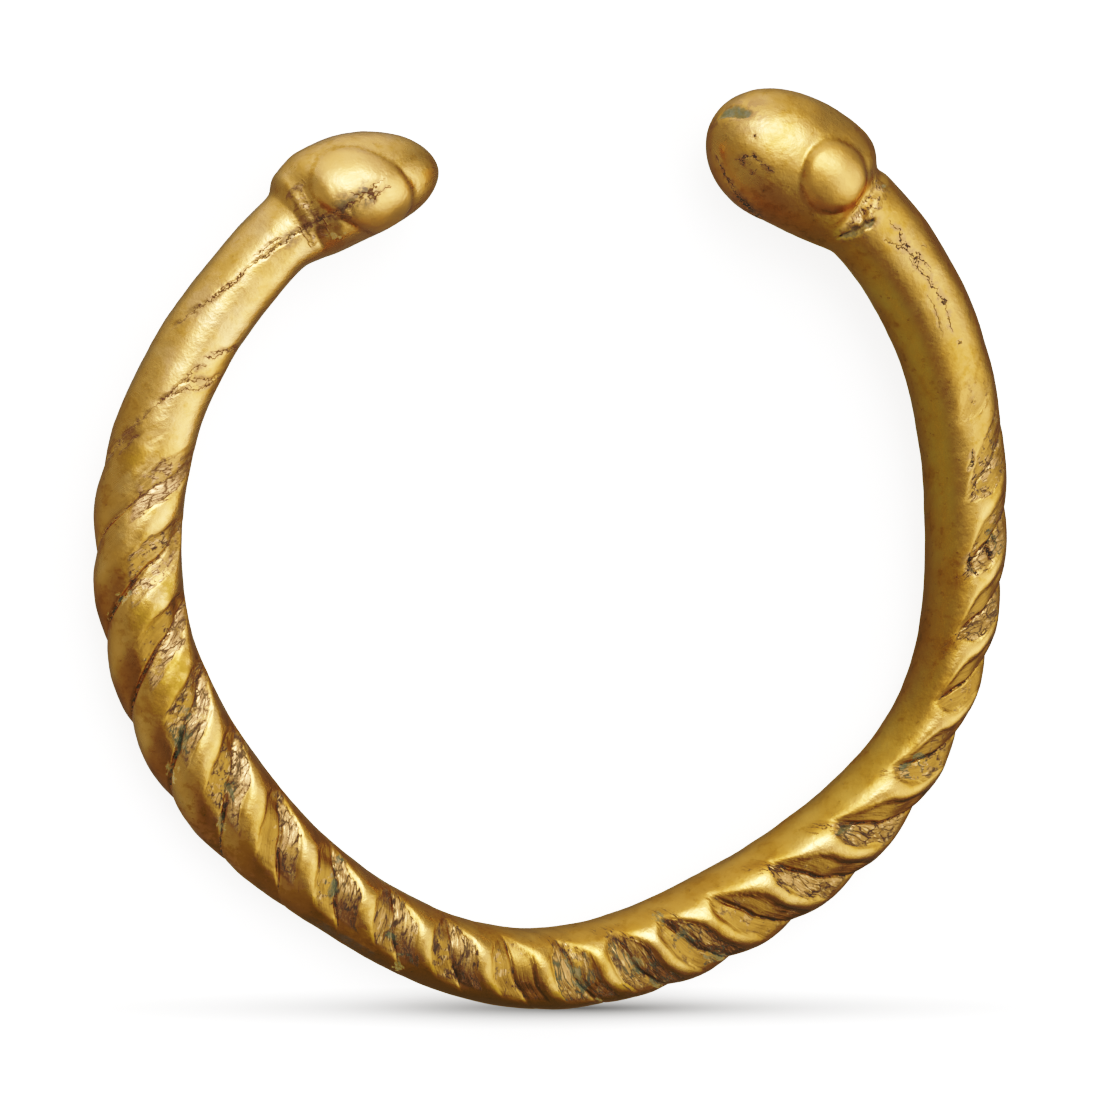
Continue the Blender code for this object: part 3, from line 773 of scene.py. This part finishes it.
def ring_points():
    """All points of the fine ring, ring by ring and then both snouts, and what its finish needs."""
    station, theta, phase = column_grid(mesh_stations())
    length = length_at(station)
    smooth, _ = ring_surface(station, theta, 0.0)
    rod = section_sizes(station)[3]
    depth = flute_depth(station, theta) * rod

    wander = [CRACK_WANDER * noise_at(smooth, CRACK_WANDER_SIZE, seed, 2) for seed in CRACK_SEEDS]
    crack, crack_way, crack_side, green = cut_marks(length, theta, wander)

    after_crease = phase - np.floor(phase)
    inside = groove_way(station, theta, after_crease)
    grooved = on_top(station, theta) * depth
    torn = face_roughness(station, theta, after_crease)
    ended = worn_end(station, theta, after_crease) * np.maximum(torn, WORN_END_LEAST)
    band, band_open = collar_band(length, theta)
    at_collar = (band > -0.5 * COLLAR_BAND_HALF_WIDTH) & (band_open > 0)
    inside = np.where(at_collar, band / FLUTE_WIDTH, inside)
    grooved = np.where(at_collar, band_open, grooved)
    torn = np.where(at_collar, COLLAR_BAND_ROUGHNESS, torn)
    rough = smoothstep(0.0, ROUGH_EDGE, inside) * grooved * torn
    strand = np.stack([FLUTE_WIDTH * phase, STRAND_STRETCH * length, 0 * length], -1)
    grain = noise_at(strand * STRIP_SHAPE, STRIP_GRAIN, STRIP_SEED, 3) * rough

    wobble = COLLAR_WOBBLE * noise_at(smooth, COLLAR_WOBBLE_SIZE, COLLAR_WOBBLE_SEED, 2)
    cut = flute_cut(station, theta, after_crease) * rod + neck_cut(length + wobble, theta) + crack
    cut = cut + STRIP_ROUGHNESS * grain
    for bump, size, seed, octaves in UNEVENNESS:
        cut = cut + bump * noise_at(smooth, size, seed, octaves)
    points, boss = ring_surface(station, theta, cut)

    flank = flank_tarnish_and_shade(station) * smoothstep(*FLANK_PHASES, after_crease)
    inner = smoothstep(*INNER_THETAS, from_outer_side(theta))
    tips = [(*centre_line(np.array(head.snout_angle)), 0.0) for head in (LEFT_HEAD, RIGHT_HEAD)]
    finish = {
        "flute_depth": depth,
        "groove_way": inside,
        "grooved": grooved,
        "torn": torn,
        "worn_end": ended,
        "dull_shade_band": dull_and_shade_band(station, theta, after_crease),
        # the tarnish share, with painted shade on the left flanks before their creases added
        "tarnish": np.minimum(tarnish(station) + flank * depth, 1.0),
        "matte": inner * inner_matte(station),
        "olive_film_and_shade": inner * olive_film_and_shade_tone(station),
        "boss": boss,
        "crack_way": crack_way,
        "crack_side": crack_way * crack_side,
        "crack_green": green,
        "verdigris": patch_field(VERDIGRIS, length, theta),
        "stain": patch_field(STAINS, length, theta),
    }
    return np.concatenate([points.reshape(-1, 3), tips]), station, phase, finish


def face_corners(rings, columns):
    """Ring and column of each face's corners: squares between the rings, then a fan at each snout.
    A snout's tip counts as a ring beyond the ends, half way between two columns."""
    ring, column = np.meshgrid(np.arange(rings - 1), np.arange(columns), indexing="ij")
    ring, column = ring.ravel(), column.ravel()
    square_rings = np.stack([ring, ring + 1, ring + 1, ring], -1)
    square_columns = np.stack([column, column, column + 1, column + 1], -1)
    i = np.arange(columns)
    first = np.zeros(columns, int)
    last = np.full(columns, rings - 1)
    fan_rings = [np.stack([first, first - 1, first], -1), np.stack([last, last + 1, last], -1)]
    fan_columns = [np.stack([i + 1, i + 0.5, i], -1), np.stack([i, i + 0.5, i + 1], -1)]
    return (square_rings, square_columns), (np.concatenate(fan_rings), np.concatenate(fan_columns))


def corner_points(ring, column, rings, columns):
    """Point numbers of the corners, with the two tips after all the rings."""
    point = ring * columns + column.astype(int) % columns
    point = np.where(ring < 0, rings * columns, point)
    return np.where(ring == rings, rings * columns + 1, point)


def add_maps(mesh, corners, station, phase):
    """Two maps of the skin: phase across the flutes and millimetres along them, for stretched
    patterns, and one that lays the rod's skin flat in three bands, for its texture."""
    rings, columns = phase.shape
    lengths = np.concatenate([[0.0], length_at(station[:, 0]), [ROD_LENGTH]])
    strands, flat = [], []
    for ring, column in corners:
        length = lengths[ring + 1]
        whole = column.astype(int)
        turns = FLUTES_PER_TURN * (whole // columns)
        own_phase = phase[np.clip(ring, 0, rings - 1), whole % columns] + turns
        strands.append(np.stack([own_phase, length], -1).reshape(-1, 2))

        band_length = ROD_LENGTH / BAKE_BANDS
        band = np.minimum(length.min(1, keepdims=True) // band_length, BAKE_BANDS - 1)
        along = BAKE_MARGIN + (1.0 - 2.0 * BAKE_MARGIN) * (length - band * band_length) / band_length
        across = BAKE_MARGIN + (1.0 - 2.0 * BAKE_MARGIN) * column / columns
        flat.append(np.stack([along, (band + across) / BAKE_BANDS], -1).reshape(-1, 2))
    for name, values in (("Strands", strands), ("OFBake", flat)):
        layer = mesh.uv_layers.new(name=name)
        layer.data.foreach_set("uv", np.concatenate(values).astype(np.float32).ravel())


def linked_object(name, data):
    """A new object of the scene."""
    made = bpy.data.objects.new(name, data)
    bpy.context.scene.collection.objects.link(made)
    return made


def make_ring():
    points, station, phase, finish = ring_points()
    rings, columns = phase.shape
    points = laid_down(points)
    points[:, 2] = np.maximum(points[:, 2], 0.0)
    low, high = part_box("arm_ring")
    middle = 0.5 * (points[:, :2].min(0) + points[:, :2].max(0))
    place = np.array([*(0.5 * (low + high))[:2], low.z])
    shift = place / MM - np.array([*middle, 0.0])
    points = (points + shift) * MM

    mesh = bpy.data.meshes.new("twisted_arm_ring")
    corners = face_corners(rings, columns)
    faces = [corner_points(ring, column, rings, columns).tolist() for ring, column in corners]
    mesh.from_pydata(points.tolist(), [], faces[0] + faces[1])
    for name, values in finish.items():
        attribute = mesh.attributes.new(name, "FLOAT", "POINT")
        padded = np.concatenate([values.ravel(), values[0, :1], values[-1, :1]])
        attribute.data.foreach_set("value", padded.astype(np.float32))
    add_maps(mesh, corners, station, phase)
    mesh.shade_smooth()
    return linked_object("twisted_arm_ring", mesh), shift * MM


class Nodes:
    """A short way to write a material's nodes. Each call adds nodes and gives their output."""

    def __init__(self, tree):
        self.tree = tree

    def add(self, kind, inputs, **settings):
        node = self.tree.nodes.new(kind)
        for name, value in settings.items():
            setattr(node, name, value)
        for socket, value in inputs.items():
            if isinstance(value, bpy.types.NodeSocket):
                self.tree.links.new(value, node.inputs[socket])
            elif value is not None:
                node.inputs[socket].default_value = value
        return node

    def math(self, operation, first, second=None):
        return self.add("ShaderNodeMath", {0: first, 1: second}, operation=operation).outputs[0]

    def vector_math(self, operation, first, second, third=None):
        inputs = {0: first, 1: second, 2: third}
        return self.add("ShaderNodeVectorMath", inputs, operation=operation).outputs[0]

    def chain(self, operation, values):
        """The values taken together one after the other."""
        result = values[0]
        for value in values[1:]:
            result = self.math(operation, result, value)
        return result

    def plus(self, *values):
        return self.chain("ADD", values)

    def times(self, *values):
        return self.chain("MULTIPLY", values)

    def most(self, *values):
        return self.chain("MAXIMUM", values)

    def step(self, value, low, high, to_low=0.0, to_high=1.0):
        """Runs smoothly from to_low to to_high as value goes from low to high."""
        inputs = {"Value": value, "From Min": low, "From Max": high, "To Min": to_low, "To Max": to_high}
        return self.add("ShaderNodeMapRange", inputs, interpolation_type="SMOOTHSTEP").outputs["Result"]

    def noise(self, vector, scale, detail, roughness):
        inputs = {"Vector": vector, "Scale": scale, "Detail": detail, "Roughness": roughness}
        return self.add("ShaderNodeTexNoise", inputs).outputs["Fac"]

    def mix(self, share, first, second):
        """Colours mixed by a share."""
        colours = [(*value, 1.0) if isinstance(value, tuple) else value for value in (first, second)]
        inputs = {0: share, 6: colours[0], 7: colours[1]}
        return self.add("ShaderNodeMix", inputs, data_type="RGBA", clamp_factor=True).outputs[2]

    def shaded(self, colour, share, shade):
        """The colour multiplied by a shade, as far as share goes."""
        return self.vector_math("MULTIPLY", colour, self.mix(share, WHITE, shade))

    def blend(self, share, first, second):
        """Numbers mixed by a share."""
        return self.add("ShaderNodeMix", {0: share, 2: first, 3: second}, data_type="FLOAT").outputs[0]

    def attribute(self, name):
        return self.add("ShaderNodeAttribute", {}, attribute_name=name).outputs["Fac"]


# Colours of the gilding, of what shows where it is worn off, and of what lies on it
GOLD = (0.79, 0.50, 0.205)
PALE_GOLD = (0.87, 0.59, 0.30)
DEEP_GOLD = (0.73, 0.45, 0.16)
BOSS_GOLD = (0.95, 0.60, 0.25)
DULL_SHADED_GOLD = (0.60, 0.395, 0.09)
AMBER = (0.55, 0.32, 0.09)
FACE_GOLD = (0.58, 0.37, 0.155)
DARK_FACE = (0.42, 0.27, 0.12)
BROWN_COPPER = (0.47, 0.305, 0.165)
PINK_COPPER = (0.68, 0.445, 0.25)
BROWN_STAIN = (0.27, 0.21, 0.14)
AMBER_STAIN = (0.42, 0.265, 0.06)
DARK_CRACK = (0.052, 0.042, 0.030)
BROWN_CRACK = (0.13, 0.075, 0.042)
GREEN_DEPOSIT = (0.11, 0.115, 0.07)
BLUE_DEPOSIT = (0.15, 0.175, 0.125)

# Shades that colours are multiplied by
WHITE = (1.0, 1.0, 1.0)
TARNISH_AND_FLANK_SHADE = (0.67, 0.65, 0.54)
OLIVE_FILM_AND_SHADE = (1.00, 1.12, 0.85)
WORN_END = (0.74, 0.70, 0.62)

# Round spots of the finish: their size and how much finer detail they have
CLOUD = (3.2, 3.0, 0.6)
MOTTLE = (0.9, 3.0, 0.7)
FINE = (0.32, 1.0, 0.6)

# Spots stretched along the flutes: their size across and along, finer detail, and seed
FIBRE = (0.45, 2.0, 2.0, 0.65, 7.7)
FLOW = (1.0, 4.5, 1.0, 0.6, 13.3)
GRIT = (0.30, 0.50, 1.0, 0.6, 21.9)
STREAK = (0.25, 4.0, 2.0, 0.65, 31.5)

# The crackle's cells across and along the flutes, and how far they are bent
CRACKLE_CELL = (0.72, 1.7)
CRACKLE_BEND = 0.65
CRACKLE_BEND_SCALE = 1.5

# Roughness of the gold from cloud to cloud, of the torn faces, of the dull outer side and of dirt
GOLD_ROUGHNESS = (0.37, 0.27)
TORN_ROUGHNESS = (0.50, 0.32)
DULL_ROUGHNESS = 0.45
DIRT_ROUGHNESS = 0.8
DIRT_METALLIC = 0.1

# Height of the finest relief
RELIEF_HEIGHT = 0.12 * MM


def gilt_material():
    """Satin gold, worn off in the grooves to torn copper, with creases, cracks and deposits."""
    material = bpy.data.materials.new("worn gilding")
    material.use_nodes = True
    material.node_tree.nodes.clear()
    n = Nodes(material.node_tree)

    place = n.add("ShaderNodeTexCoord", {}).outputs["Object"]
    strands = n.add("ShaderNodeUVMap", {}, uv_map="Strands").outputs["UV"]
    phase = n.math("FRACT", n.add("ShaderNodeSeparateXYZ", {"Vector": strands}).outputs["X"])
    crease_way = n.math("MINIMUM", phase, n.math("SUBTRACT", 1.0, phase))
    depth = n.attribute("flute_depth")
    groove_way = n.attribute("groove_way")
    grooved = n.attribute("grooved")
    torn = n.attribute("torn")
    worn_out = n.attribute("worn_end")
    tarnish_and_flank_shade = n.attribute("tarnish")
    raised = n.attribute("boss")
    crack_way = n.attribute("crack_way")
    crack_green = n.attribute("crack_green")
    stain = n.attribute("stain")

    def spots(size, detail, roughness):
        return n.noise(place, 1.0 / (size * MM), detail, roughness)

    def strand_spots(across, along, detail, roughness, seed):
        share = (FLUTE_WIDTH / across, STRAND_STRETCH / along, 1.0)
        moved = n.vector_math("MULTIPLY_ADD", strands, share, (seed, seed, seed))
        return n.noise(moved, 1.0, detail, roughness)

    def patchy(low, high, least=0.0, most=1.0):
        """A share that goes from least to most between patches of the surface."""
        return n.step(mottle, low, high, least, most)

    def swing(noise, margin, reach):
        """A shift to either side by up to reach, full where the noise is a margin from its middle."""
        return n.step(noise, 0.5 - margin, 0.5 + margin, -reach, reach)

    cloud = spots(*CLOUD)
    mottle = spots(*MOTTLE)
    fine = spots(*FINE)
    fibre = strand_spots(*FIBRE)
    flow = strand_spots(*FLOW)
    grit = strand_spots(*GRIT)
    streak = strand_spots(*STREAK)

    # plain gold with pale and amber clouds and brown specks, dull and darker along the worn outer side,
    # partly as painted shade
    gold = n.mix(n.step(cloud, 0.36, 0.50), DEEP_GOLD, GOLD)
    pale = n.times(n.step(cloud, 0.50, 0.66, 0.15, 0.7), n.step(tarnish_and_flank_shade, 0.5, 0.0, 0.6, 1.0))
    gold = n.mix(pale, gold, PALE_GOLD)
    shallow = n.math("MINIMUM", depth, 0.5)
    amber = n.plus(n.times(cloud, -0.3), n.times(mottle, 0.7), n.times(shallow, 0.03), n.times(stain, 0.25))
    gold = n.mix(n.times(n.step(amber, 0.22, 0.36), 0.45), gold, AMBER)
    dull_and_shaded = n.step(n.plus(n.attribute("dull_shade_band"), swing(mottle, 0.2, 0.35)), 0.3, 0.7)
    # painted shade: the outer side turned from the light is darkened to dull gold, along with its worn
    # finish
    gold = n.mix(n.times(dull_and_shaded, 0.7), gold, DULL_SHADED_GOLD)
    speck = n.times(n.step(fine, 0.66, 0.74), patchy(0.50, 0.62))
    gold = n.mix(n.times(speck, 0.35), gold, BROWN_STAIN)
    boss = n.step(raised, 0.1, 0.6)
    gold = n.mix(n.times(boss, 0.6), gold, BOSS_GOLD)

    # where the gilding is worn off, in the grooves: smooth faces and torn ones
    past_edge = n.plus(groove_way, swing(fibre, 0.2, 0.045))
    shown = n.step(grooved, 0.06, 0.30)
    bare = n.times(n.step(past_edge, -0.035, 0.03), shown)
    rough = n.times(bare, n.step(n.plus(torn, swing(mottle, 0.15, 0.4)), 0.30, 0.60))
    face = n.mix(n.step(streak, 0.38, 0.62), DARK_FACE, FACE_GOLD)
    colour = n.mix(n.times(bare, 0.85), gold, face)
    copper = n.mix(n.step(flow, 0.42, 0.58), BROWN_COPPER, PINK_COPPER)
    colour = n.mix(rough, colour, copper)

    # painted shade as an amber line round the foot of each eye boss, tarnish away from the crests, and
    # painted glints on the torn faces
    # painted shade in the recess round each eye boss's foot
    boss_foot_shade = n.times(n.step(raised, 0.0, 0.04), n.step(raised, 0.30, 0.12))
    colour = n.mix(n.times(boss_foot_shade, patchy(0.38, 0.58, 0.05, 0.6)), colour, AMBER)
    crest = n.step(n.times(groove_way, n.step(grooved, 0.2, 0.8)), -0.03, -0.14)
    # tarnish, which carries the painted shade on the left flanks, eased on the crests
    colour = n.shaded(colour, n.times(tarnish_and_flank_shade, n.plus(1.0, n.times(crest, -0.45))), TARNISH_AND_FLANK_SHADE)
    # olive tone of the inner face: partly a dirt film, partly painted shade colour
    colour = n.shaded(colour, n.attribute("olive_film_and_shade"), OLIVE_FILM_AND_SHADE)
    colour = n.shaded(colour, worn_out, WORN_END)
    # painted glints: pale gold flecks on the torn faces, which are also glossier
    colour = n.mix(n.times(n.step(grit, 0.58, 0.66), rough, 0.4), colour, PALE_GOLD)

    # lines of the torn faces and of the grooves' worn ends: flowing fissures and crackle
    fissure = n.step(n.math("ABSOLUTE", n.plus(fibre, -0.5)), 0.032, 0.010)
    fissure = n.times(fissure, patchy(0.40, 0.55, 0.1, 0.95))
    across, along = CRACKLE_CELL
    cells = n.vector_math("MULTIPLY", strands, (FLUTE_WIDTH / across, STRAND_STRETCH / along, 1.0))
    bend = n.add("ShaderNodeTexNoise", {"Vector": cells, "Scale": CRACKLE_BEND_SCALE}).outputs["Color"]
    bent = n.vector_math("MULTIPLY_ADD", bend, (CRACKLE_BEND, CRACKLE_BEND, CRACKLE_BEND), cells)
    crackle = n.add("ShaderNodeTexVoronoi", {"Vector": bent, "Scale": 1.0}, feature="DISTANCE_TO_EDGE")
    crackle = n.times(n.step(crackle.outputs["Distance"], 0.095, 0.02), patchy(0.34, 0.54, 0.35, 1.0))
    lines = n.times(n.most(fissure, crackle), rough, 0.9)
    lines = n.most(lines, n.times(fissure, n.step(worn_out, 0.15, 0.7)))

    # the creases, the torn edges of the grooves and the long cracks
    crease = n.step(n.plus(crease_way, swing(grit, 0.2, 0.012)), 0.024, 0.006)
    crease = n.times(crease, n.step(depth, 0.10, 0.40), patchy(0.36, 0.54, 0.35, 0.95))
    rim = n.times(n.step(n.math("ABSOLUTE", past_edge), 0.020, 0.006), shown, torn, patchy(0.42, 0.56))
    jagged = n.math("ABSOLUTE", n.plus(n.attribute("crack_side"), swing(fine, 0.25, 1.3)))
    crack = n.times(n.step(jagged, 0.95, 0.3), n.step(crack_way, 3.0, 2.2), patchy(0.32, 0.52, 0.65, 1.0))
    crack = n.times(crack, n.step(crack_green, 0.25, 0.5, 1.0, 0.25))
    dark = n.most(lines, crease, rim, crack)

    halo = n.times(n.step(crack_way, 5.0, 1.5), patchy(0.42, 0.56), 0.75)
    colour = n.mix(halo, colour, BROWN_COPPER)
    spotted = n.times(n.step(stain, 0.1, 0.9), patchy(0.40, 0.60, 0.3, 1.0), n.math("SUBTRACT", 1.0, rough))
    colour = n.mix(spotted, colour, n.mix(n.step(depth, 0.1, 0.3), BROWN_STAIN, AMBER_STAIN))
    line_colour = n.mix(n.step(tarnish_and_flank_shade, 0.0, 0.35), BROWN_CRACK, DARK_CRACK)
    colour = n.mix(n.times(dark, 0.92), colour, line_colour)

    # green deposit along the creases in its patches, and in the deepest cuts
    narrow = n.step(n.plus(crease_way, swing(fibre, 0.15, 0.07)), 0.10, 0.04)
    narrow = n.most(narrow, n.times(dark, 0.8))
    deposit = n.times(n.step(n.plus(n.attribute("verdigris"), swing(mottle, 0.2, 0.4)), 0.45, 0.75), narrow)
    filled = n.times(n.step(crack_way, 1.2, 0.7), crack_green)
    green = n.mix(patchy(0.42, 0.60), GREEN_DEPOSIT, BLUE_DEPOSIT)
    colour = n.mix(n.most(n.times(deposit, 0.6), filled), colour, green)

    dirty = n.most(dark, deposit, filled, n.times(spotted, 0.35))
    roughness = n.plus(
        n.step(cloud, 0.3, 0.7, *GOLD_ROUGHNESS),
        n.times(crest, -0.12),
        n.step(streak, 0.35, 0.65, -0.03, 0.04),
        n.times(bare, 0.05),
        n.times(worn_out, 0.12),
        n.step(tarnish_and_flank_shade, 0.0, 0.25, -0.05, 0.0),
        n.times(n.most(n.attribute("matte"), boss), 0.10),
    )
    roughness = n.blend(rough, roughness, n.step(grit, 0.35, 0.6, *TORN_ROUGHNESS))
    roughness = n.blend(dull_and_shaded, roughness, DULL_ROUGHNESS)
    roughness = n.blend(dirty, roughness, DIRT_ROUGHNESS)
    metallic = n.step(dirty, 0.0, 1.0, 1.0, DIRT_METALLIC)

    torn_relief = n.times(n.step(groove_way, -0.01, 0.03), grooved, torn, 0.45)
    relief = n.plus(
        n.times(n.plus(grit, fibre), torn_relief),
        n.times(fine, 0.14),
        n.times(mottle, 0.30),
        n.times(streak, bare, 0.30),
    )
    bump = n.add("ShaderNodeBump", {"Strength": 1.0, "Distance": RELIEF_HEIGHT, "Height": relief})
    inputs = {"Base Color": colour, "Metallic": metallic, "Roughness": roughness, "Normal": bump.outputs[0]}
    shader = n.add("ShaderNodeBsdfPrincipled", inputs)
    n.add("ShaderNodeOutputMaterial", {"Surface": shader.outputs["BSDF"]})
    return material


# Camera: it looks down on the ring as the photograph looks at it. Directions are in degrees.
PHOTO_SIZE = 1100
TARGET_PIXEL = (550, 560)
TARGET_HEIGHT = 0.0045
CAMERA_DISTANCE = 0.379
CAMERA_LENS = 150.0
CAMERA_SENSOR = 36.0
CAMERA_TO_LEFT = 18.0
CAMERA_TO_GAP = 5.0

# Soft light all round. Each glow has its direction by the camera's right, up and backward axes,
# how closely it is gathered, and its strength.
GLOWS = (
    ((0.29, 0.50, 0.82), 16.0, 4.6),
    ((-0.29, 0.50, 0.82), 8.0, 0.35),
    ((0.0, 0.0, 1.0), 8.0, 0.35),
    ((0.91, -0.22, 0.33), 5.0, 1.45),
    ((-0.88, -0.45, 0.10), 3.0, 0.2),
    ((-0.17, 0.98, 0.0), 3.0, 0.75),
)
AMBIENT = 0.20
LIGHT_COLOUR = (1.0, 0.985, 0.96)

FLOOR_COLOUR = (0.90, 0.90, 0.90)
FLOOR_GLOW = 0.9
FLOOR_ROUGHNESS = 0.9
FLOOR_SIZE = 12.0

# The soft shadow painted on the floor along the foot: its ends in the photograph, and its reach each way
SHADE_PIXELS = ((250, 1008), (890, 1008))
SHADE_HALF_LENGTH = 0.0466
SHADE_HALF_WIDTH = 0.0019
SHADE_COLOUR = (0.11, 0.11, 0.11)
SHADE_GLOW = 0.10

# Tones of the photograph: shares of WHITE_LEVEL, and the brightness that they print as
WHITE_LEVEL = 1.6
TONE_POINTS = ((0.05, 0.034), (0.1, 0.143), (0.2, 0.365), (0.32, 0.585), (0.5, 0.79), (0.7, 0.91))


def camera_axes():
    """The camera's right, up and backward directions."""
    left, gap = math.radians(CAMERA_TO_LEFT), math.radians(CAMERA_TO_GAP)
    back = Vector((-math.sin(left) * math.cos(gap), math.sin(gap), math.cos(left) * math.cos(gap)))
    right = Vector((0, 1, 0)).cross(back).normalized()
    return right, back.cross(right), back


def add_camera(target):
    right, up, back = camera_axes()
    data = bpy.data.cameras.new("camera")
    data.lens = CAMERA_LENS
    data.sensor_width = CAMERA_SENSOR
    data.shift_y = (TARGET_PIXEL[1] - PHOTO_SIZE / 2) / PHOTO_SIZE
    data.clip_start = 0.01
    camera = linked_object("camera", data)
    turn = Matrix((right, up, back)).transposed().to_4x4()
    camera.matrix_world = Matrix.Translation(target + CAMERA_DISTANCE * back) @ turn
    bpy.context.scene.camera = camera


def floor_point(target, pixel):
    """The point of the floor at a pixel of the photograph."""
    right, up, back = camera_axes()
    pixel_size = CAMERA_SENSOR / CAMERA_LENS / PHOTO_SIZE
    across = (pixel[0] - TARGET_PIXEL[0]) * pixel_size
    above = (TARGET_PIXEL[1] - pixel[1]) * pixel_size
    eye = target + CAMERA_DISTANCE * back
    way = across * right + above * up - back
    return eye - way * (eye.z / way.z)


def add_floor(shade_ends):
    """The white floor, with a soft shadow painted on it level with the foot."""
    mesh = bpy.data.meshes.new("floor")
    half = 0.5 * FLOOR_SIZE
    corners = [(-half, -half, 0), (half, -half, 0), (half, half, 0), (-half, half, 0)]
    mesh.from_pydata(corners, [], [(0, 1, 2, 3)])
    material = bpy.data.materials.new("pale floor")
    material.use_nodes = True
    n = Nodes(material.node_tree)
    place = n.add("ShaderNodeTexCoord", {}).outputs["Object"]
    run = shade_ends[1] - shade_ends[0]
    reach = (SHADE_HALF_LENGTH, SHADE_HALF_WIDTH, 1.0)
    turn = (0.0, 0.0, math.atan2(run.y, run.x))
    inputs = {"Vector": place, "Location": shade_ends[0] + 0.5 * run, "Rotation": turn, "Scale": reach}
    mapped = n.add("ShaderNodeMapping", inputs, vector_type="TEXTURE").outputs[0]
    shade = n.add("ShaderNodeTexGradient", {"Vector": mapped}, gradient_type="SPHERICAL").outputs["Fac"]
    shader = material.node_tree.nodes["Principled BSDF"]
    # painted shadow: the floor is darker and glows less towards the middle of the shade
    material.node_tree.links.new(n.mix(shade, FLOOR_COLOUR, SHADE_COLOUR), shader.inputs["Base Color"])
    material.node_tree.links.new(n.blend(shade, FLOOR_GLOW, SHADE_GLOW), shader.inputs["Emission Strength"])
    shader.inputs["Roughness"].default_value = FLOOR_ROUGHNESS
    shader.inputs["Specular IOR Level"].default_value = 0.0
    shader.inputs["Emission Color"].default_value = (1.0, 1.0, 1.0, 1.0)
    mesh.materials.append(material)
    floor = linked_object("floor", mesh)
    floor.visible_glossy = False


def add_world():
    world = bpy.data.worlds.new("studio")
    bpy.context.scene.world = world
    world.use_nodes = True
    n = Nodes(world.node_tree)
    right, up, back = camera_axes()
    way = n.add("ShaderNodeTexCoord", {}).outputs["Generated"]
    glows = []
    for (across, above, towards), gathered, power in GLOWS:
        axis = (across * right + above * up + towards * back).normalized()
        facing = n.add("ShaderNodeVectorMath", {0: way, 1: axis}, operation="DOT_PRODUCT")
        facing = n.most(facing.outputs["Value"], 0.0)
        glows.append(n.times(n.math("POWER", facing, gathered), power))
    background = world.node_tree.nodes["Background"]
    background.inputs["Color"].default_value = (*LIGHT_COLOUR, 1.0)
    world.node_tree.links.new(n.plus(AMBIENT, *glows), background.inputs["Strength"])


def set_tones():
    view = bpy.context.scene.view_settings
    view.view_transform = "Standard"
    view.use_curve_mapping = True
    mapping = view.curve_mapping
    mapping.white_level = (WHITE_LEVEL, WHITE_LEVEL, WHITE_LEVEL)
    curve = mapping.curves[3]
    for place in TONE_POINTS:
        curve.points.new(*place)
    mapping.update()


ring, ring_centre = make_ring()
ring.data.materials.append(gilt_material())
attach(ring, "root")
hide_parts("arm_ring")

target = Vector((ring_centre[0], ring_centre[1], TARGET_HEIGHT))
add_camera(target)
add_floor([floor_point(target, pixel) for pixel in SHADE_PIXELS])
add_world()
set_tones()
